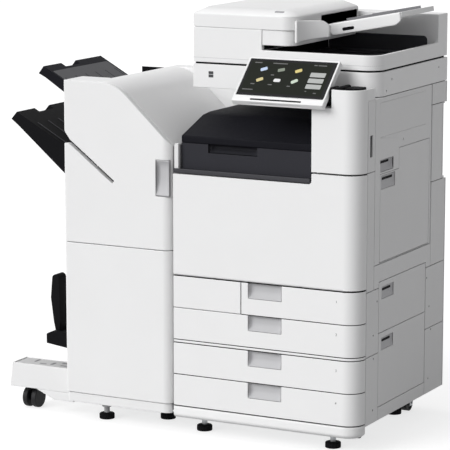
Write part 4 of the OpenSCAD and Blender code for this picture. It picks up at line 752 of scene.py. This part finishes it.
# ---- Booklet arm: a low white moulded arm with a black bracket standing on it, a
# grey deck with five slots, a black paddle that holds the booklets back, and a
# caster in a black fork under its end.
arm = eased("booklet_arm", white_resin, radius=1.5)
arm.data.materials.append(deep_black)
black_from = 0.142
middles = np.empty(len(arm.data.polygons) * 3, np.float32)
arm.data.polygons.foreach_get("center", middles)
arm.data.polygons.foreach_set("material_index", (middles[2::3] > black_from).astype(np.int32))
deck_resin = finish_of("deck_resin", (0.56, 0.56, 0.56), 0.55, grain=0.04, speck=0.06, wear=0.08, shine=0.25)
settled(pad("arm_deck", (-457, 79, 125.4), X_WAY, Y_WAY, 190, 69, thick=10.4, radius=3, ease=1.5,
            finish=deck_resin), "chassis", "side_cover")
deck_slots = [(-505, 92, 8, 30), (-470, 66, 22, 8), (-442, 78, 10, 26), (-410, 96, 26, 10), (-396, 66, 30, 9)]
deck_z = 135.2
for n, (x, y, wide, deep_y) in enumerate(deck_slots):
    settled(pad("deck_slot_%d" % n, (x, y, deck_z), X_WAY, Y_WAY, wide, deep_y, thick=1.0, radius=2.5, ease=0.5,
                finish=grey_resin), "chassis", "dark_plastic")
eased("booklet_paddle", deep_black, radius=1.0)
eased("arm_fork", deep_black, radius=0.6)
eased("arm_wheels", wheel_rubber, radius=2.5)

# ---- Grip of the stapler door: a tall scooped cup clipped into the door beside the
# main unit, whose grey is painted shade in the recess.
settled(scooped("stapler_grip", -54.6, -13.4, 671.5, 773.5, deep=12.2, back=12.9, finish=grey_and_pocket_shade,
                top_open=False), "stapler_door", "grey_plastic")

# ---- Ribs and bed of the output trays: six low ribs moulded along each slope, so
# that sheets slide down to the wall, and a paler plate laid on the upper tray.
tray_slope = math.radians(29)
DOWN_WAY = (-math.cos(tray_slope), 0, math.sin(tray_slope))
wall_x, upper_mouth, lower_mouth = -259.3, 877, 688
rib_inset, rib_start, rib_y, rib_pitch, rib_wide, rib_tall = 96, 56, 135, 56, 3.0, 2.2
for tray, body, mouth, reach in (("upper_tray", "stack_tray_upper", upper_mouth, 242),
                                 ("lower_tray", "stack_tray_lower", lower_mouth, 337)):
    length = (reach - rib_inset) / math.cos(tray_slope)
    half = (reach - rib_start) / 2
    middle = (wall_x - half, mouth + half * math.tan(tray_slope))
    for n in range(6):
        settled(pad("%s_rib_%d" % (tray, n), (middle[0], rib_y + rib_pitch * n, middle[1] - 0.6), Y_WAY,
                    DOWN_WAY, rib_wide, length, thick=rib_tall, radius=1.4, ease=0.8, finish=slate), body,
                "dark_plastic")
bed_resin = finish_of("bed_resin", (0.11, 0.11, 0.115), 0.6, grain=0.04, speck=0.08, shine=0.1)
bed_reach = 109
settled(pad("upper_tray_bed", (wall_x - bed_reach, 274, upper_mouth + bed_reach * math.tan(tray_slope) - 0.7),
            Y_WAY, DOWN_WAY, 306, 206, thick=1.2, radius=4, ease=0.6, finish=bed_resin), "stack_tray_upper",
        "dark_plastic")
